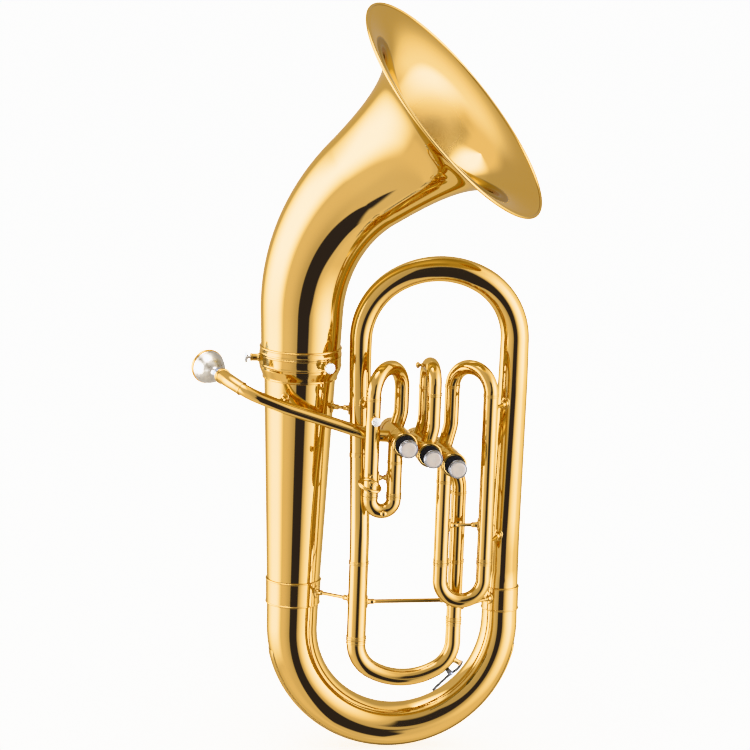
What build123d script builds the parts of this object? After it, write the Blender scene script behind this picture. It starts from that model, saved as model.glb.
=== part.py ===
from build123d import *
from math import cos, pi, radians, sin, sqrt
import os

# A three-valve B flat low brass horn with a forward-leaning detachable bell, in millimetres.
# X runs to the viewer's right across the horn, -Y is the front that the valve buttons face,
# and Z is up.  The origin is the lowest point of the bottom bow.

# ---- driving dimensions -------------------------------------------------------------------
HALF_WIDTH = 121.2  # from the horn's middle to each outer branch
SHEET = 0.7  # wall of the large tubes
FIT = 0.05  # running clearance on the radius
SEAM = 0.3  # gap at the mouth of a closed slide

BOW_START_RADIUS = 29.8  # bottom bow at its wide left end
BOW_END_RADIUS = 20.0  # bottom bow at its narrow right end
GUARD = 1.2  # thickness of the guard strip under the bow
LOW_POINT_SHIFT = 0.3  # the taper puts the bow's lowest point this far above its middle's
BOW_CENTRE_Z = HALF_WIDTH + (BOW_START_RADIUS + BOW_END_RADIUS) / 2 + GUARD - LOW_POINT_SHIFT
GUARD_DROP = 11.0  # degrees below the bow's centre line where the guard ends
GUARD_HALF_WIDTH = 12.0  # guard strip, front to back
LEFT_FERRULE = (173.0, 202.0)
RIGHT_FERRULE = (161.5, 189.0)
LEFT_JOINT_Z = 187.0
RIGHT_JOINT_Z = 176.0

BRANCH_TOP_RADIUS = 40.6
BRANCH_TOP_Z = 446.0
FUNNEL_Z = 435.0
COLLAR_LINE_Z = 451.0
BELL_JOINT_Z = 462.5
TENON_TOP_Z = 471.5
COLLAR_RADIUS = 46.6
COLLAR_BORE = 44.0
TENON_FOOT_Z = 447.0
SCREW_ANGLES = (67.0, 187.0, 307.0)  # round the collar, from +X towards the front
SCREW_Z = 457.0

BELL_RADIUS = 147.5  # outside of the rim wire
RIM_WIRE = 1.7
BELL_FLARE = 0.295  # exponent of the flare
BELL_THROAT = 6.2  # length scale of the flare, measured back from the rim
BELL_TURN = 48.8  # lean of the bell's mouth from the vertical, degrees
BELL_HEADING = 26.0  # turn of the bell towards the front, degrees
BELL_BEND_RADIUS = 203.0
BELL_STRAIGHT = 130.0
BELL_BEND_Z = 512.0

TOP_BOW_Z = 484.0
TOP_LEFT_RADIUS = 12.7
TOP_RIGHT_RADIUS = 16.2
TOP_RIGHT_X = 117.0
TOP_LEFT_Y = -24.0
TOP_RIGHT_Y = -34.0
TOP_SHOULDER = 78.0  # radius of the top bow's shoulders
BRANCH_ROUTE = ((TOP_RIGHT_X, TOP_RIGHT_Y, 440.0), (118.0, -14.0, 256.0), (HALF_WIDTH, 0.0, 204.0))
BRANCH_BENDS = (300.0, 240.0, 80.0)  # bend radii at the route's corners
FEED_TOP_Z = 455.0  # upper and lower bends of the leg down to the tuning slide
FEED_FOOT_Z = 262.0
FEED_BEND = 280.0
FEED_JOINT_Z = 357.0
FEED_JOINT_RADIUS = 11.5

LEVEL_FRONT = -78.0  # the three depths at which tubes meet the valves
LEVEL_MIDDLE = -57.5
LEVEL_BACK = -37.0
SLIDE_PLANE = -57.5

TUBE = 8.4  # outside radius of the valve tubing
TUBE_WALL = 0.6
INNER = TUBE - TUBE_WALL - FIT  # outside radius of an inner slide leg
INNER_BORE = INNER - 0.55
RING_WIDTH = 3.5
RING_PROUD = 0.5

VALVE_X = -18.0
VALVE_Z = 378.5
VALVE_PITCH_X = 28.4
VALVE_PITCH_Z = -11.7
CASING_RADIUS = 13.0
CASING_BORE = 12.2
CASING_BACK_Y = -18.0
CASING_FRONT_Y = -96.0
PISTON_BACK_Y = -36.0
PISTON_FRONT_Y = -94.0
PISTON_RADIUS = CASING_BORE - FIT
CAP_RADIUS = 14.0
CAP_BACK_Y = -88.0
CAP_FRONT_Y = -99.0
CAP_PLATE_Y = -98.0
REAR_CAP_Y = -14.0
STEM_RADIUS = 2.5
STEM_BASE_Y = -82.0
BUTTON_BACK_Y = -117.0
BUTTON_FRONT_Y = -121.0
BUTTON_RADIUS = 10.1
INLAY_RADIUS = 8.1
PORT_BORE = TUBE - TUBE_WALL
SPRING_SEAT_Y = -20.0
SPRING_BORE_Y = -49.0
SPRING_RADIUS = 6.6

MAIN_LEFT_X = -57.5
MAIN_RIGHT_X = 54.5
MAIN_LEFT_RADIUS = 10.9
MAIN_RIGHT_RADIUS = 8.5
MAIN_LEFT_BORE = 10.2
MAIN_RIGHT_BORE = 7.9
MAIN_LEFT_Z = 144.0
MAIN_RIGHT_Z = 164.0
MAIN_SPRING_Z = 140.0
MAIN_SHOULDER = 36.9
RECEIVER_TOP_Z = 236.0

FIRST_LEFT_X = -51.3
FIRST_RIGHT_X = -24.7
FIRST_TOP_X = -10.9
FIRST_JOINT_Z = 316.0
FIRST_BEND_Z = 298.5
FIRST_BEND = 13.2
FIRST_REACH = 36.0  # inner legs, up from the joint
SECOND_X = 17.0
SECOND_JOINT_Z = 430.0
SECOND_BEND = 19.0
SECOND_REACH = -28.0  # inner legs, down from the joint
THIRD_TOP_X = 47.0
THIRD_RIGHT_X = 82.0
THIRD_LEFT_X = 32.2
THIRD_JOINT_Z = 238.0
THIRD_BEND_Z = 192.8
THIRD_BEND = 24.8
THIRD_REACH = 70.0
CROOK_TOP_Z = 457.5

PIPE_RADIUS = 7.0
PIPE_BORE = 6.4
RECEIVER_MOUTH = (-211.5, -9.0, 439.2)
RECEIVER_CORNER = (-204.4, -35.5, 437.4)
PIPE_FERRULE = (-195.2, -45.0, 432.7)
PIPE_ROUTE = ((-186.0, -54.5, 428.0), (-150.0, -57.5, 414.0), (-52.0, -57.5, 381.5))
SOCKET_RADIUS = 8.3  # mouthpiece receiver at its mouth
SOCKET_TAPER = 0.7

BRANCH_BRACE_Z = 405.0  # outer branch to the upper leg
FOOT_BRACE_Z = 190.0  # outer branch to the tuning slide
SLIDE_BRACE_Z = 188.0  # between the tuning slide's legs
SIDE_BRACE_Z = 177.0  # tuning slide to the right ferrule
LEG_BRACE_Z = 414.0  # upper leg to the first slide
FIRST_BRACE_Z = 337.0
THIRD_BRACE_Z = 281.0
RIGHT_BRACES = ((256.0, 19.4), (413.0, 17.5))  # height, and the right branch's radius there
RING_RADIUS = 11.8  # finger ring
RING_WIRE = 2.2
RING_LUG_Z = 335.5
LYRE_Z = 405.0

os.makedirs("parts", exist_ok=True)


def save(piece, name):
    """Label a finished piece and write its STEP file."""
    piece.part.label = name
    export_step(piece.part, f"parts/{name}.step")


def valve_x(number):
    """X of the axis of valve 0, 1 or 2."""
    return VALVE_X + number * VALVE_PITCH_X


def valve_z(number):
    """Height of the axis of valve 0, 1 or 2."""
    return VALVE_Z + number * VALVE_PITCH_Z


def front_plane(x, y, z):
    """Plane whose normal points to the front, -Y."""
    return Plane(origin=(x, y, z), x_dir=(1, 0, 0), z_dir=(0, -1, 0))


def across(wire, position):
    """Plane square to a wire, with its x direction kept close to +Y."""
    return Plane(origin=wire @ position, x_dir=(0, 1, 0), z_dir=wire % position)


def tapered_tube(wire, start, end, wall, steps):
    """Hollow tube along a wire whose outside radius changes evenly from start to end."""
    with BuildPart() as tube:
        for index in range(steps + 1):
            with BuildSketch(across(wire, index / steps)):
                Circle(start + (end - start) * index / steps)
        sweep(path=wire, multisection=True)
        for index in range(steps + 1):
            with BuildSketch(across(wire, index / steps)):
                Circle(start + (end - start) * index / steps - wall)
        sweep(path=wire, multisection=True, mode=Mode.SUBTRACT)
    return tube


def plain_tube(wire, outside, bore):
    """Hollow tube of one size along a wire."""
    with BuildPart() as tube:
        with BuildSketch(across(wire, 0)):
            Circle(outside)
            Circle(bore, mode=Mode.SUBTRACT)
        sweep(path=wire)
    return tube


def turned(rows, plane):
    """Solid turned from (radius, height) rows about the normal of a plane."""
    profile_plane = Plane(origin=plane.origin, x_dir=plane.x_dir, z_dir=-plane.y_dir)
    with BuildPart() as piece:
        with BuildSketch(profile_plane):
            with BuildLine():
                Polyline(*rows, close=True)
            make_face()
        revolve(axis=Axis(plane.origin, plane.z_dir))
    return piece


def band(plane, bore, outside, width):
    """Plain ring that starts on a plane and runs along its normal."""
    return turned(((bore, 0), (outside, 0), (outside, width), (bore, width)), plane)


def at_height(wire, height):
    """Point and direction of a wire that climbs or falls all the way, at a height."""
    low, high = (0.0, 1.0) if (wire @ 0).Z < (wire @ 1).Z else (1.0, 0.0)
    for _ in range(30):
        middle = (low + high) / 2
        if (wire @ middle).Z < height:
            low = middle
        else:
            high = middle
    return wire @ low, wire % low


def upright(x, y, z):
    """Horizontal plane at a height, centred on a vertical tube."""
    return Plane(origin=(x, y, z), x_dir=(1, 0, 0), z_dir=(0, 0, 1))


def valve_bore(number):
    """Solid rod that fills a valve casing, for trimming the tubes that meet it."""
    with BuildPart() as rod:
        with BuildSketch(front_plane(valve_x(number), 0, valve_z(number))):
            Circle(CASING_RADIUS)
        extrude(amount=-CASING_FRONT_Y + 20)
    return rod.part


def brace(start, end, start_radius, end_radius, start_axis=(0, 0, 1), end_axis=(0, 0, 1)):
    """Strut between two tubes, with a saddle plate and a waisted cup at each end."""
    plate = 1.0
    span = (Vector(*end) - Vector(*start)).length
    along = Plane(origin=start, x_dir=(0, 0, 1), z_dir=Vector(*end) - Vector(*start))
    foot = start_radius - 1
    head = span - end_radius + 1
    cup = min(7.0, (head - foot) / 3)
    rows = (
        (0, foot),
        (3.6, foot),
        (3.2, foot + cup),
        (2.0, foot + cup + 1.5),
        (2.0, head - cup - 1.5),
        (3.2, head - cup),
        (3.6, head),
        (0, head),
    )
    with BuildPart() as strut:
        for centre, radius, axis in ((start, start_radius, start_axis), (end, end_radius, end_axis)):
            with BuildSketch(Plane(origin=centre, z_dir=axis)):
                Circle(radius + plate)
            extrude(amount=9, both=True)
        with BuildSketch(along):
            Ellipse(7.5, 5)
        extrude(amount=span, mode=Mode.INTERSECT)
        add(turned(rows, along).part)
        for centre, radius, axis in ((start, start_radius, start_axis), (end, end_radius, end_axis)):
            with BuildSketch(Plane(origin=centre, z_dir=axis)):
                Circle(radius)
            extrude(amount=20, both=True, mode=Mode.SUBTRACT)
    return strut.part


# ---- outer loop ---------------------------------------------------------------------------
with BuildLine() as bow_line:
    Line((-HALF_WIDTH, 0, LEFT_JOINT_Z), (-HALF_WIDTH, 0, BOW_CENTRE_Z))
    ThreePointArc(
        (-HALF_WIDTH, 0, BOW_CENTRE_Z), (0, 0, BOW_CENTRE_Z - HALF_WIDTH), (HALF_WIDTH, 0, BOW_CENTRE_Z)
    )
    Line((HALF_WIDTH, 0, BOW_CENTRE_Z), (HALF_WIDTH, 0, RIGHT_JOINT_Z))
bow_wire = bow_line.wire()
BOW_TAPER = (BOW_START_RADIUS - BOW_END_RADIUS) / bow_wire.length
bottom_bow = tapered_tube(bow_wire, BOW_START_RADIUS, BOW_END_RADIUS, SHEET, 12)
save(bottom_bow, "bottom_bow")

guard_start = LEFT_JOINT_Z - BOW_CENTRE_Z + HALF_WIDTH * radians(GUARD_DROP)
guard_sweep = HALF_WIDTH * radians(180 - 2 * GUARD_DROP)
with BuildLine(Plane.XZ) as guard_line:
    CenterArc((0, BOW_CENTRE_Z), HALF_WIDTH, 180 + GUARD_DROP, 180 - 2 * GUARD_DROP)
guard_wire = guard_line.wire()
with BuildPart() as bow_guard:
    for clearance, mode in ((GUARD, Mode.ADD), (0.05, Mode.SUBTRACT)):
        for index in range(9):
            radius = BOW_START_RADIUS - BOW_TAPER * (guard_start + guard_sweep * index / 8)
            with BuildSketch(across(guard_wire, index / 8)):
                Circle(radius + clearance)
        sweep(path=guard_wire, multisection=True, mode=mode)
    with BuildSketch(Plane.XZ.offset(-50)):
        with Locations((0, BOW_CENTRE_Z)):
            Circle(HALF_WIDTH + 7)
    extrude(amount=100, mode=Mode.SUBTRACT)
    with BuildSketch(Plane.XZ.offset(-GUARD_HALF_WIDTH)):
        with Locations((0, BOW_CENTRE_Z)):
            Circle(HALF_WIDTH + 60)
    extrude(amount=2 * GUARD_HALF_WIDTH, mode=Mode.INTERSECT)
save(bow_guard, "bow_guard")


def ferrule(x, bottom, top, bottom_radius, top_radius):
    """Sleeve with a bead at each end, over the joint of two large tubes."""
    skin = 0.9
    bead = 1.5
    rows = (
        (bottom_radius, 0),
        (bottom_radius + bead, 0),
        (bottom_radius + bead, 2),
        (bottom_radius + skin, 3),
        (top_radius + skin, top - bottom - 3),
        (top_radius + bead, top - bottom - 2),
        (top_radius + bead, top - bottom),
        (top_radius, top - bottom),
    )
    return turned(rows, upright(x, 0, bottom)).part


def bow_radius_at(length):
    """Outside radius of the bottom bow at a distance from its left end."""
    return BOW_START_RADIUS - BOW_TAPER * length


BRANCH_TAPER = (BRANCH_TOP_RADIUS - BOW_START_RADIUS) / (BRANCH_TOP_Z - LEFT_JOINT_Z)
with BuildPart() as bow_ferrules:
    add(
        ferrule(
            -HALF_WIDTH,
            *LEFT_FERRULE,
            BOW_START_RADIUS + 0.05,
            BOW_START_RADIUS + BRANCH_TAPER * (LEFT_FERRULE[1] - LEFT_JOINT_Z) + 0.05,
        )
    )
    add(ferrule(HALF_WIDTH, *RIGHT_FERRULE, bow_radius_at(bow_wire.length - 14.5) + 0.05, BOW_END_RADIUS + 0.05))
save(bow_ferrules, "bow_ferrules")

outer_branch = turned(
    (
        (BOW_START_RADIUS - SHEET, LEFT_JOINT_Z),
        (BOW_START_RADIUS, LEFT_JOINT_Z),
        (BRANCH_TOP_RADIUS, BRANCH_TOP_Z),
        (BRANCH_TOP_RADIUS - SHEET, BRANCH_TOP_Z),
    ),
    upright(-HALF_WIDTH, 0, 0),
)
save(outer_branch, "outer_branch")

# ---- bell receiver with three screw lugs --------------------------------------------------
with BuildPart() as bell_receiver:
    add(
        turned(
            (
                (BRANCH_TOP_RADIUS - 0.4, FUNNEL_Z),
                (BRANCH_TOP_RADIUS + 1.6, FUNNEL_Z),
                (BRANCH_TOP_RADIUS + 2.6, FUNNEL_Z + 5),
                (COLLAR_RADIUS - 0.6, FUNNEL_Z + 12),
                (COLLAR_RADIUS, COLLAR_LINE_Z),
                (COLLAR_RADIUS, BELL_JOINT_Z),
                (COLLAR_BORE, BELL_JOINT_Z),
                (COLLAR_BORE, BRANCH_TOP_Z),
                (BRANCH_TOP_RADIUS, BRANCH_TOP_Z),
            ),
            upright(-HALF_WIDTH, 0, 0),
        ).part
    )
    for angle in SCREW_ANGLES:
        outward = Vector(cos(radians(angle)), -sin(radians(angle)), 0)
        seat = Plane(origin=Vector(-HALF_WIDTH, 0, SCREW_Z) + outward * (COLLAR_RADIUS - 1.5), z_dir=outward)
        with BuildSketch(seat):
            Circle(4.2)
        extrude(amount=11.5)
        with BuildSketch(seat):
            Circle(1.6)
        extrude(amount=14, both=True, mode=Mode.SUBTRACT)
save(bell_receiver, "bell_receiver")

for number, angle in enumerate(SCREW_ANGLES, start=1):
    outward = Vector(cos(radians(angle)), -sin(radians(angle)), 0)
    axis_plane = Plane(origin=Vector(-HALF_WIDTH, 0, SCREW_Z), z_dir=outward)
    bell_screw = turned(
        (
            (0, COLLAR_BORE + 0.1),
            (1.5, COLLAR_BORE + 0.1),
            (1.5, 59.5),
            (6.0, 59.5),
            (6.3, 60.5),
            (6.3, 62.0),
            (5.6, 63.0),
            (0, 63.0),
        ),
        axis_plane,
    )
    save(bell_screw, f"bell_screw_{number}")

# ---- bell ---------------------------------------------------------------------------------
heading = Vector(cos(radians(BELL_HEADING)), -sin(radians(BELL_HEADING)), 0)
bell_plane = Plane(origin=(-HALF_WIDTH, 0, 0), x_dir=heading, z_dir=heading.cross(Vector(0, 0, 1)))
turn = radians(BELL_TURN)
bend_end_x = BELL_BEND_RADIUS * (1 - cos(turn))
bend_end_z = BELL_BEND_Z + BELL_BEND_RADIUS * sin(turn)
with BuildLine(bell_plane) as bell_line:
    Line((0, TENON_TOP_Z), (0, BELL_BEND_Z))
    CenterArc((BELL_BEND_RADIUS, BELL_BEND_Z), BELL_BEND_RADIUS, 180, -BELL_TURN)
    Line(
        (bend_end_x, bend_end_z),
        (bend_end_x + BELL_STRAIGHT * sin(turn), bend_end_z + BELL_STRAIGHT * cos(turn)),
    )
bell_wire = bell_line.wire()
BELL_STATIONS = 40
FLARE_END = 0.5  # where the sheet meets the rim wire, back from the rim


def bell_radius(distance):
    """Outside radius of the bell at a distance back from the rim."""
    return BELL_RADIUS * (1 + distance / BELL_THROAT) ** -BELL_FLARE


def bell_wall(distance):
    """Wall thickness measured square to the bell's axis."""
    slope = BELL_FLARE * bell_radius(distance) / (BELL_THROAT + distance)
    return SHEET * sqrt(1 + slope * slope)


with BuildPart() as bell_flare:
    for inside in (False, True):
        for index in range(BELL_STATIONS + 1):
            spread = (index / BELL_STATIONS) ** 1.8
            distance = FLARE_END + (bell_wire.length - FLARE_END) * spread
            radius = bell_radius(distance)
            if inside:
                radius -= bell_wall(distance)
            with BuildSketch(across(bell_wire, 1 - distance / bell_wire.length)):
                Circle(radius)
        loft(mode=Mode.SUBTRACT if inside else Mode.ADD)
save(bell_flare, "bell_flare")

rim_plane = across(bell_wire, 1)
with BuildPart() as bell_rim_wire:
    with BuildSketch(Plane(origin=rim_plane.origin, x_dir=rim_plane.x_dir, z_dir=-rim_plane.y_dir)):
        with Locations((BELL_RADIUS - RIM_WIRE, -FLARE_END)):
            Circle(RIM_WIRE)
    revolve(axis=Axis(rim_plane.origin, rim_plane.z_dir))
save(bell_rim_wire, "bell_rim_wire")

bell_tenon = turned(
    (
        (COLLAR_BORE - 1.2, TENON_FOOT_Z),
        (COLLAR_BORE - FIT, TENON_FOOT_Z),
        (COLLAR_BORE - FIT, BELL_JOINT_Z + SEAM),
        (COLLAR_RADIUS, BELL_JOINT_Z + SEAM),
        (COLLAR_RADIUS, TENON_TOP_Z - 0.5),
        (COLLAR_RADIUS - 0.5, TENON_TOP_Z),
        (COLLAR_BORE - 1.2, TENON_TOP_Z),
    ),
    upright(-HALF_WIDTH, 0, 0),
)
save(bell_tenon, "bell_tenon")

# ---- upper branch: right branch, top bow and the leg down to the tuning slide --------------
top_left = Vector(MAIN_LEFT_X, TOP_LEFT_Y, TOP_BOW_Z)
top_right = Vector(TOP_RIGHT_X, TOP_RIGHT_Y, TOP_BOW_Z)
top_middle = (top_left + top_right) * 0.5
top_across = (top_right - top_left).normalized()
top_plane = Plane(origin=top_middle, x_dir=top_across, z_dir=top_across.cross(Vector(0, 0, 1)))
top_half = (top_right - top_left).length / 2
top_large = TOP_SHOULDER + 2 * (top_half - TOP_SHOULDER)
top_drop = (top_large - TOP_SHOULDER) * sin(radians(60))
with BuildLine(top_plane) as top_line:
    CenterArc((TOP_SHOULDER - top_half, 0), TOP_SHOULDER, 180, -60)
    CenterArc((0, -top_drop), top_large, 120, -60)
    CenterArc((top_half - TOP_SHOULDER, 0), TOP_SHOULDER, 60, -60)
top_wire = top_line.wire()
top_bow = tapered_tube(top_wire, TOP_LEFT_RADIUS, TOP_RIGHT_RADIUS, SHEET, 10)
save(top_bow, "top_bow")

with BuildLine() as branch_line:
    FilletPolyline(
        (TOP_RIGHT_X, TOP_RIGHT_Y, TOP_BOW_Z),
        *BRANCH_ROUTE,
        (HALF_WIDTH, 0, RIGHT_JOINT_Z),
        radius=list(BRANCH_BENDS),
    )
right_branch = tapered_tube(branch_line.wire(), TOP_RIGHT_RADIUS, BOW_END_RADIUS, SHEET, 12)
save(right_branch, "right_branch")

feed_bend_top = Vector(MAIN_LEFT_X, TOP_LEFT_Y, FEED_TOP_Z)
feed_bend_foot = Vector(MAIN_LEFT_X, SLIDE_PLANE, FEED_FOOT_Z)
feed_lean = (feed_bend_top - feed_bend_foot).normalized()
feed_joint = feed_bend_foot + feed_lean * ((FEED_JOINT_Z - feed_bend_foot.Z) / feed_lean.Z)
with BuildLine() as upper_leg_line:
    FilletPolyline(feed_joint, feed_bend_top, top_left, radius=FEED_BEND)
upper_leg = tapered_tube(upper_leg_line.wire(), FEED_JOINT_RADIUS, TOP_LEFT_RADIUS, SHEET, 6)
save(upper_leg, "upper_leg")

with BuildLine() as feed_line:
    FilletPolyline(
        (MAIN_LEFT_X, SLIDE_PLANE, RECEIVER_TOP_Z),
        feed_bend_foot,
        feed_joint,
        radius=FEED_BEND,
    )
with BuildPart() as feed_tube:
    add(tapered_tube(feed_line.wire(), MAIN_LEFT_RADIUS, FEED_JOINT_RADIUS, SHEET, 6).part)
    add(
        band(
            Plane(origin=feed_joint - feed_lean * 5, x_dir=(1, 0, 0), z_dir=feed_lean),
            FEED_JOINT_RADIUS - 0.2,
            FEED_JOINT_RADIUS + 0.6,
            5,
        ).part
    )
save(feed_tube, "feed_tube")

# ---- main tuning slide --------------------------------------------------------------------
main_legs = (
    (MAIN_LEFT_X, MAIN_LEFT_RADIUS, MAIN_LEFT_BORE, MAIN_LEFT_Z),
    (MAIN_RIGHT_X, MAIN_RIGHT_RADIUS, MAIN_RIGHT_BORE, MAIN_RIGHT_Z),
)
with BuildPart() as main_slide_receivers:
    for x, outside, bore, mouth in main_legs:
        add(band(upright(x, SLIDE_PLANE, mouth + SEAM), bore, outside, RECEIVER_TOP_Z - mouth - SEAM).part)
        for ring_z in (mouth + SEAM, RECEIVER_TOP_Z - 4):
            add(band(upright(x, SLIDE_PLANE, ring_z), outside - 0.2, outside + 0.7, 4).part)
save(main_slide_receivers, "main_slide_receivers")

main_middle = (MAIN_LEFT_X + MAIN_RIGHT_X) / 2
main_half = (MAIN_RIGHT_X - MAIN_LEFT_X) / 2
main_large = MAIN_SHOULDER + 2 * (main_half - MAIN_SHOULDER)
main_rise = (main_large - MAIN_SHOULDER) * sin(radians(60))
slide_plane = Plane.XZ.offset(-SLIDE_PLANE)
with BuildLine(slide_plane) as main_line:
    Line((MAIN_LEFT_X, MAIN_LEFT_Z), (MAIN_LEFT_X, MAIN_SPRING_Z))
    CenterArc((MAIN_LEFT_X + MAIN_SHOULDER, MAIN_SPRING_Z), MAIN_SHOULDER, 180, 60)
    CenterArc((main_middle, MAIN_SPRING_Z + main_rise), main_large, 240, 60)
    CenterArc((MAIN_RIGHT_X - MAIN_SHOULDER, MAIN_SPRING_Z), MAIN_SHOULDER, 300, 60)
    Line((MAIN_RIGHT_X, MAIN_SPRING_Z), (MAIN_RIGHT_X, MAIN_RIGHT_Z))
main_wire = main_line.wire()
KEY_ANGLE = -30.0  # water hole, round the right shoulder of the bow
HINGE_ANGLE = -47.0
KEY_TUBE = 9.0


def key_point(angle, height, y=SLIDE_PLANE):
    """Point above the outer side of the slide bow's right shoulder."""
    reach = MAIN_SHOULDER + KEY_TUBE + height
    return Vector(
        MAIN_RIGHT_X - MAIN_SHOULDER + reach * cos(radians(angle)),
        y,
        MAIN_SPRING_Z + reach * sin(radians(angle)),
    )


def key_plane(angle, height):
    """Plane square to the bow's outer side, at a height above it."""
    return Plane(
        origin=key_point(angle, height), x_dir=(0, 1, 0), z_dir=key_point(angle, 1) - key_point(angle, 0)
    )


with BuildPart() as main_slide_bow:
    for index in range(11):
        with BuildSketch(across(main_wire, index / 10)):
            Circle(MAIN_LEFT_RADIUS + (MAIN_RIGHT_RADIUS - MAIN_LEFT_RADIUS) * index / 10)
    sweep(path=main_wire, multisection=True)
    with BuildSketch(key_plane(KEY_ANGLE, -2)):
        Circle(3.0)
    extrude(amount=8)
    for index in range(11):
        with BuildSketch(across(main_wire, index / 10)):
            Circle(MAIN_LEFT_RADIUS + (MAIN_RIGHT_RADIUS - MAIN_LEFT_RADIUS) * index / 10 - 1.25)
    sweep(path=main_wire, multisection=True, mode=Mode.SUBTRACT)
    with BuildSketch(key_plane(KEY_ANGLE, -4)):
        Circle(1.5)
    extrude(amount=12, mode=Mode.SUBTRACT)
    for x, outside, bore, mouth in main_legs:
        add(band(upright(x, SLIDE_PLANE, mouth - 1), bore - FIT - 0.6, bore - FIT, RECEIVER_TOP_Z - mouth - 5).part)
        add(band(upright(x, SLIDE_PLANE, mouth - 5), outside - 0.3, outside + 0.5, 5).part)
save(main_slide_bow, "main_slide_bow")

# ---- water key ----------------------------------------------------------------------------
hinge = key_point(HINGE_ANGLE, 5.4)
HINGE_PIN = 0.8
with BuildPart() as water_key_saddle:
    for side in (-1, 1):
        with BuildSketch(front_plane(hinge.X, SLIDE_PLANE + side * 5.6, hinge.Z)):
            Circle(2.6)
        extrude(amount=0.6, both=True)
    with BuildSketch(key_plane(HINGE_ANGLE, -5)):
        Rectangle(12.4, 4.4)
    extrude(amount=10.4)
    with BuildSketch(key_plane(HINGE_ANGLE, 2.2)):
        Rectangle(10.0, 8)
    extrude(amount=9, mode=Mode.SUBTRACT)
    with BuildSketch(front_plane(hinge.X, SLIDE_PLANE + 10, hinge.Z)):
        Circle(HINGE_PIN)
    extrude(amount=20, mode=Mode.SUBTRACT)
    add(main_slide_bow.part, mode=Mode.SUBTRACT)
    with BuildSketch(across(main_wire, 0.8)):
        Circle(KEY_TUBE)
    extrude(amount=14, both=True, mode=Mode.SUBTRACT)
save(water_key_saddle, "water_key_saddle")

with BuildPart() as water_key_pin:
    add(
        turned(
            (
                (0, -7.4),
                (HINGE_PIN - 0.02, -7.4),
                (HINGE_PIN - 0.02, 6.3),
                (1.8, 6.3),
                (1.6, 7.6),
                (0, 7.6),
            ),
            front_plane(hinge.X, SLIDE_PLANE, hinge.Z),
        ).part
    )
save(water_key_pin, "water_key_pin")

with BuildPart() as water_key_lever:
    with BuildSketch(front_plane(hinge.X, SLIDE_PLANE, hinge.Z)):
        Circle(2.5)
    extrude(amount=2.4, both=True)
    with BuildSketch(key_plane(KEY_ANGLE, 8.3)):
        Circle(4.0)
    extrude(amount=1.2)
    with BuildSketch(front_plane(0, SLIDE_PLANE, 0)):
        with BuildLine():
            arm_points = [
                (key_point(angle, height).X, key_point(angle, height).Z)
                for angle, height in ((KEY_ANGLE + 3, 9.6), (-36, 9.6), (HINGE_ANGLE, 7.2), (-61, 9.0), (-75, 14.5))
            ]
            arm = Spline(*arm_points)
        trace(line_width=2.0)
    extrude(amount=2.4, both=True)
    with BuildSketch(front_plane(hinge.X, SLIDE_PLANE + 10, hinge.Z)):
        Circle(HINGE_PIN + FIT)
    extrude(amount=20, mode=Mode.SUBTRACT)
save(water_key_lever, "water_key_lever")

with BuildPart() as water_key_cork:
    with BuildSketch(key_plane(KEY_ANGLE, 6.1)):
        Circle(3.4)
    extrude(amount=2.2)
save(water_key_cork, "water_key_cork")

with BuildPart() as water_key_spring:
    for side in (-1, 1):
        coil = Helix(
            pitch=0.65,
            height=1.6,
            radius=2.5,
            center=(hinge.X, SLIDE_PLANE + side * 2.9, hinge.Z),
            direction=(0, side, 0),
        )
        with BuildSketch(Plane(origin=coil @ 0, z_dir=coil % 0)):
            Circle(0.25)
        sweep(path=coil)
save(water_key_spring, "water_key_spring")

# ---- valves -------------------------------------------------------------------------------
ROW = Vector(VALVE_PITCH_X, 0, VALVE_PITCH_Z).normalized()
UP = Vector(0, 0, 1)
DOWN = Vector(0, 0, -1)
RIGHT = ROW
LEFT = ROW * -1
PIPE_ENTRY = Vector(-0.995, 0, -0.088)
# for each casing: where each bore starts (x from the valve's axis), its depth and direction
PORTS = (
    (
        (0, LEVEL_MIDDLE, PIPE_ENTRY),
        (0, LEVEL_MIDDLE, RIGHT),
        (0, LEVEL_BACK, Vector(0.29, 0, 0.957)),
        (FIRST_RIGHT_X - valve_x(0), LEVEL_FRONT, DOWN),
    ),
    (
        (0, LEVEL_MIDDLE, LEFT),
        (0, LEVEL_MIDDLE, RIGHT),
        (0, LEVEL_BACK, Vector(0.236, 0, 0.972)),
        (0, LEVEL_FRONT, Vector(0.236, 0, 0.972)),
    ),
    (
        (0, LEVEL_MIDDLE, LEFT),
        (0, LEVEL_MIDDLE, Vector(0.501, 0, -0.865)),
        (0, LEVEL_BACK, Vector(0.242, 0, 0.97)),
        (THIRD_LEFT_X - valve_x(2), LEVEL_FRONT, DOWN),
    ),
)

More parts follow.
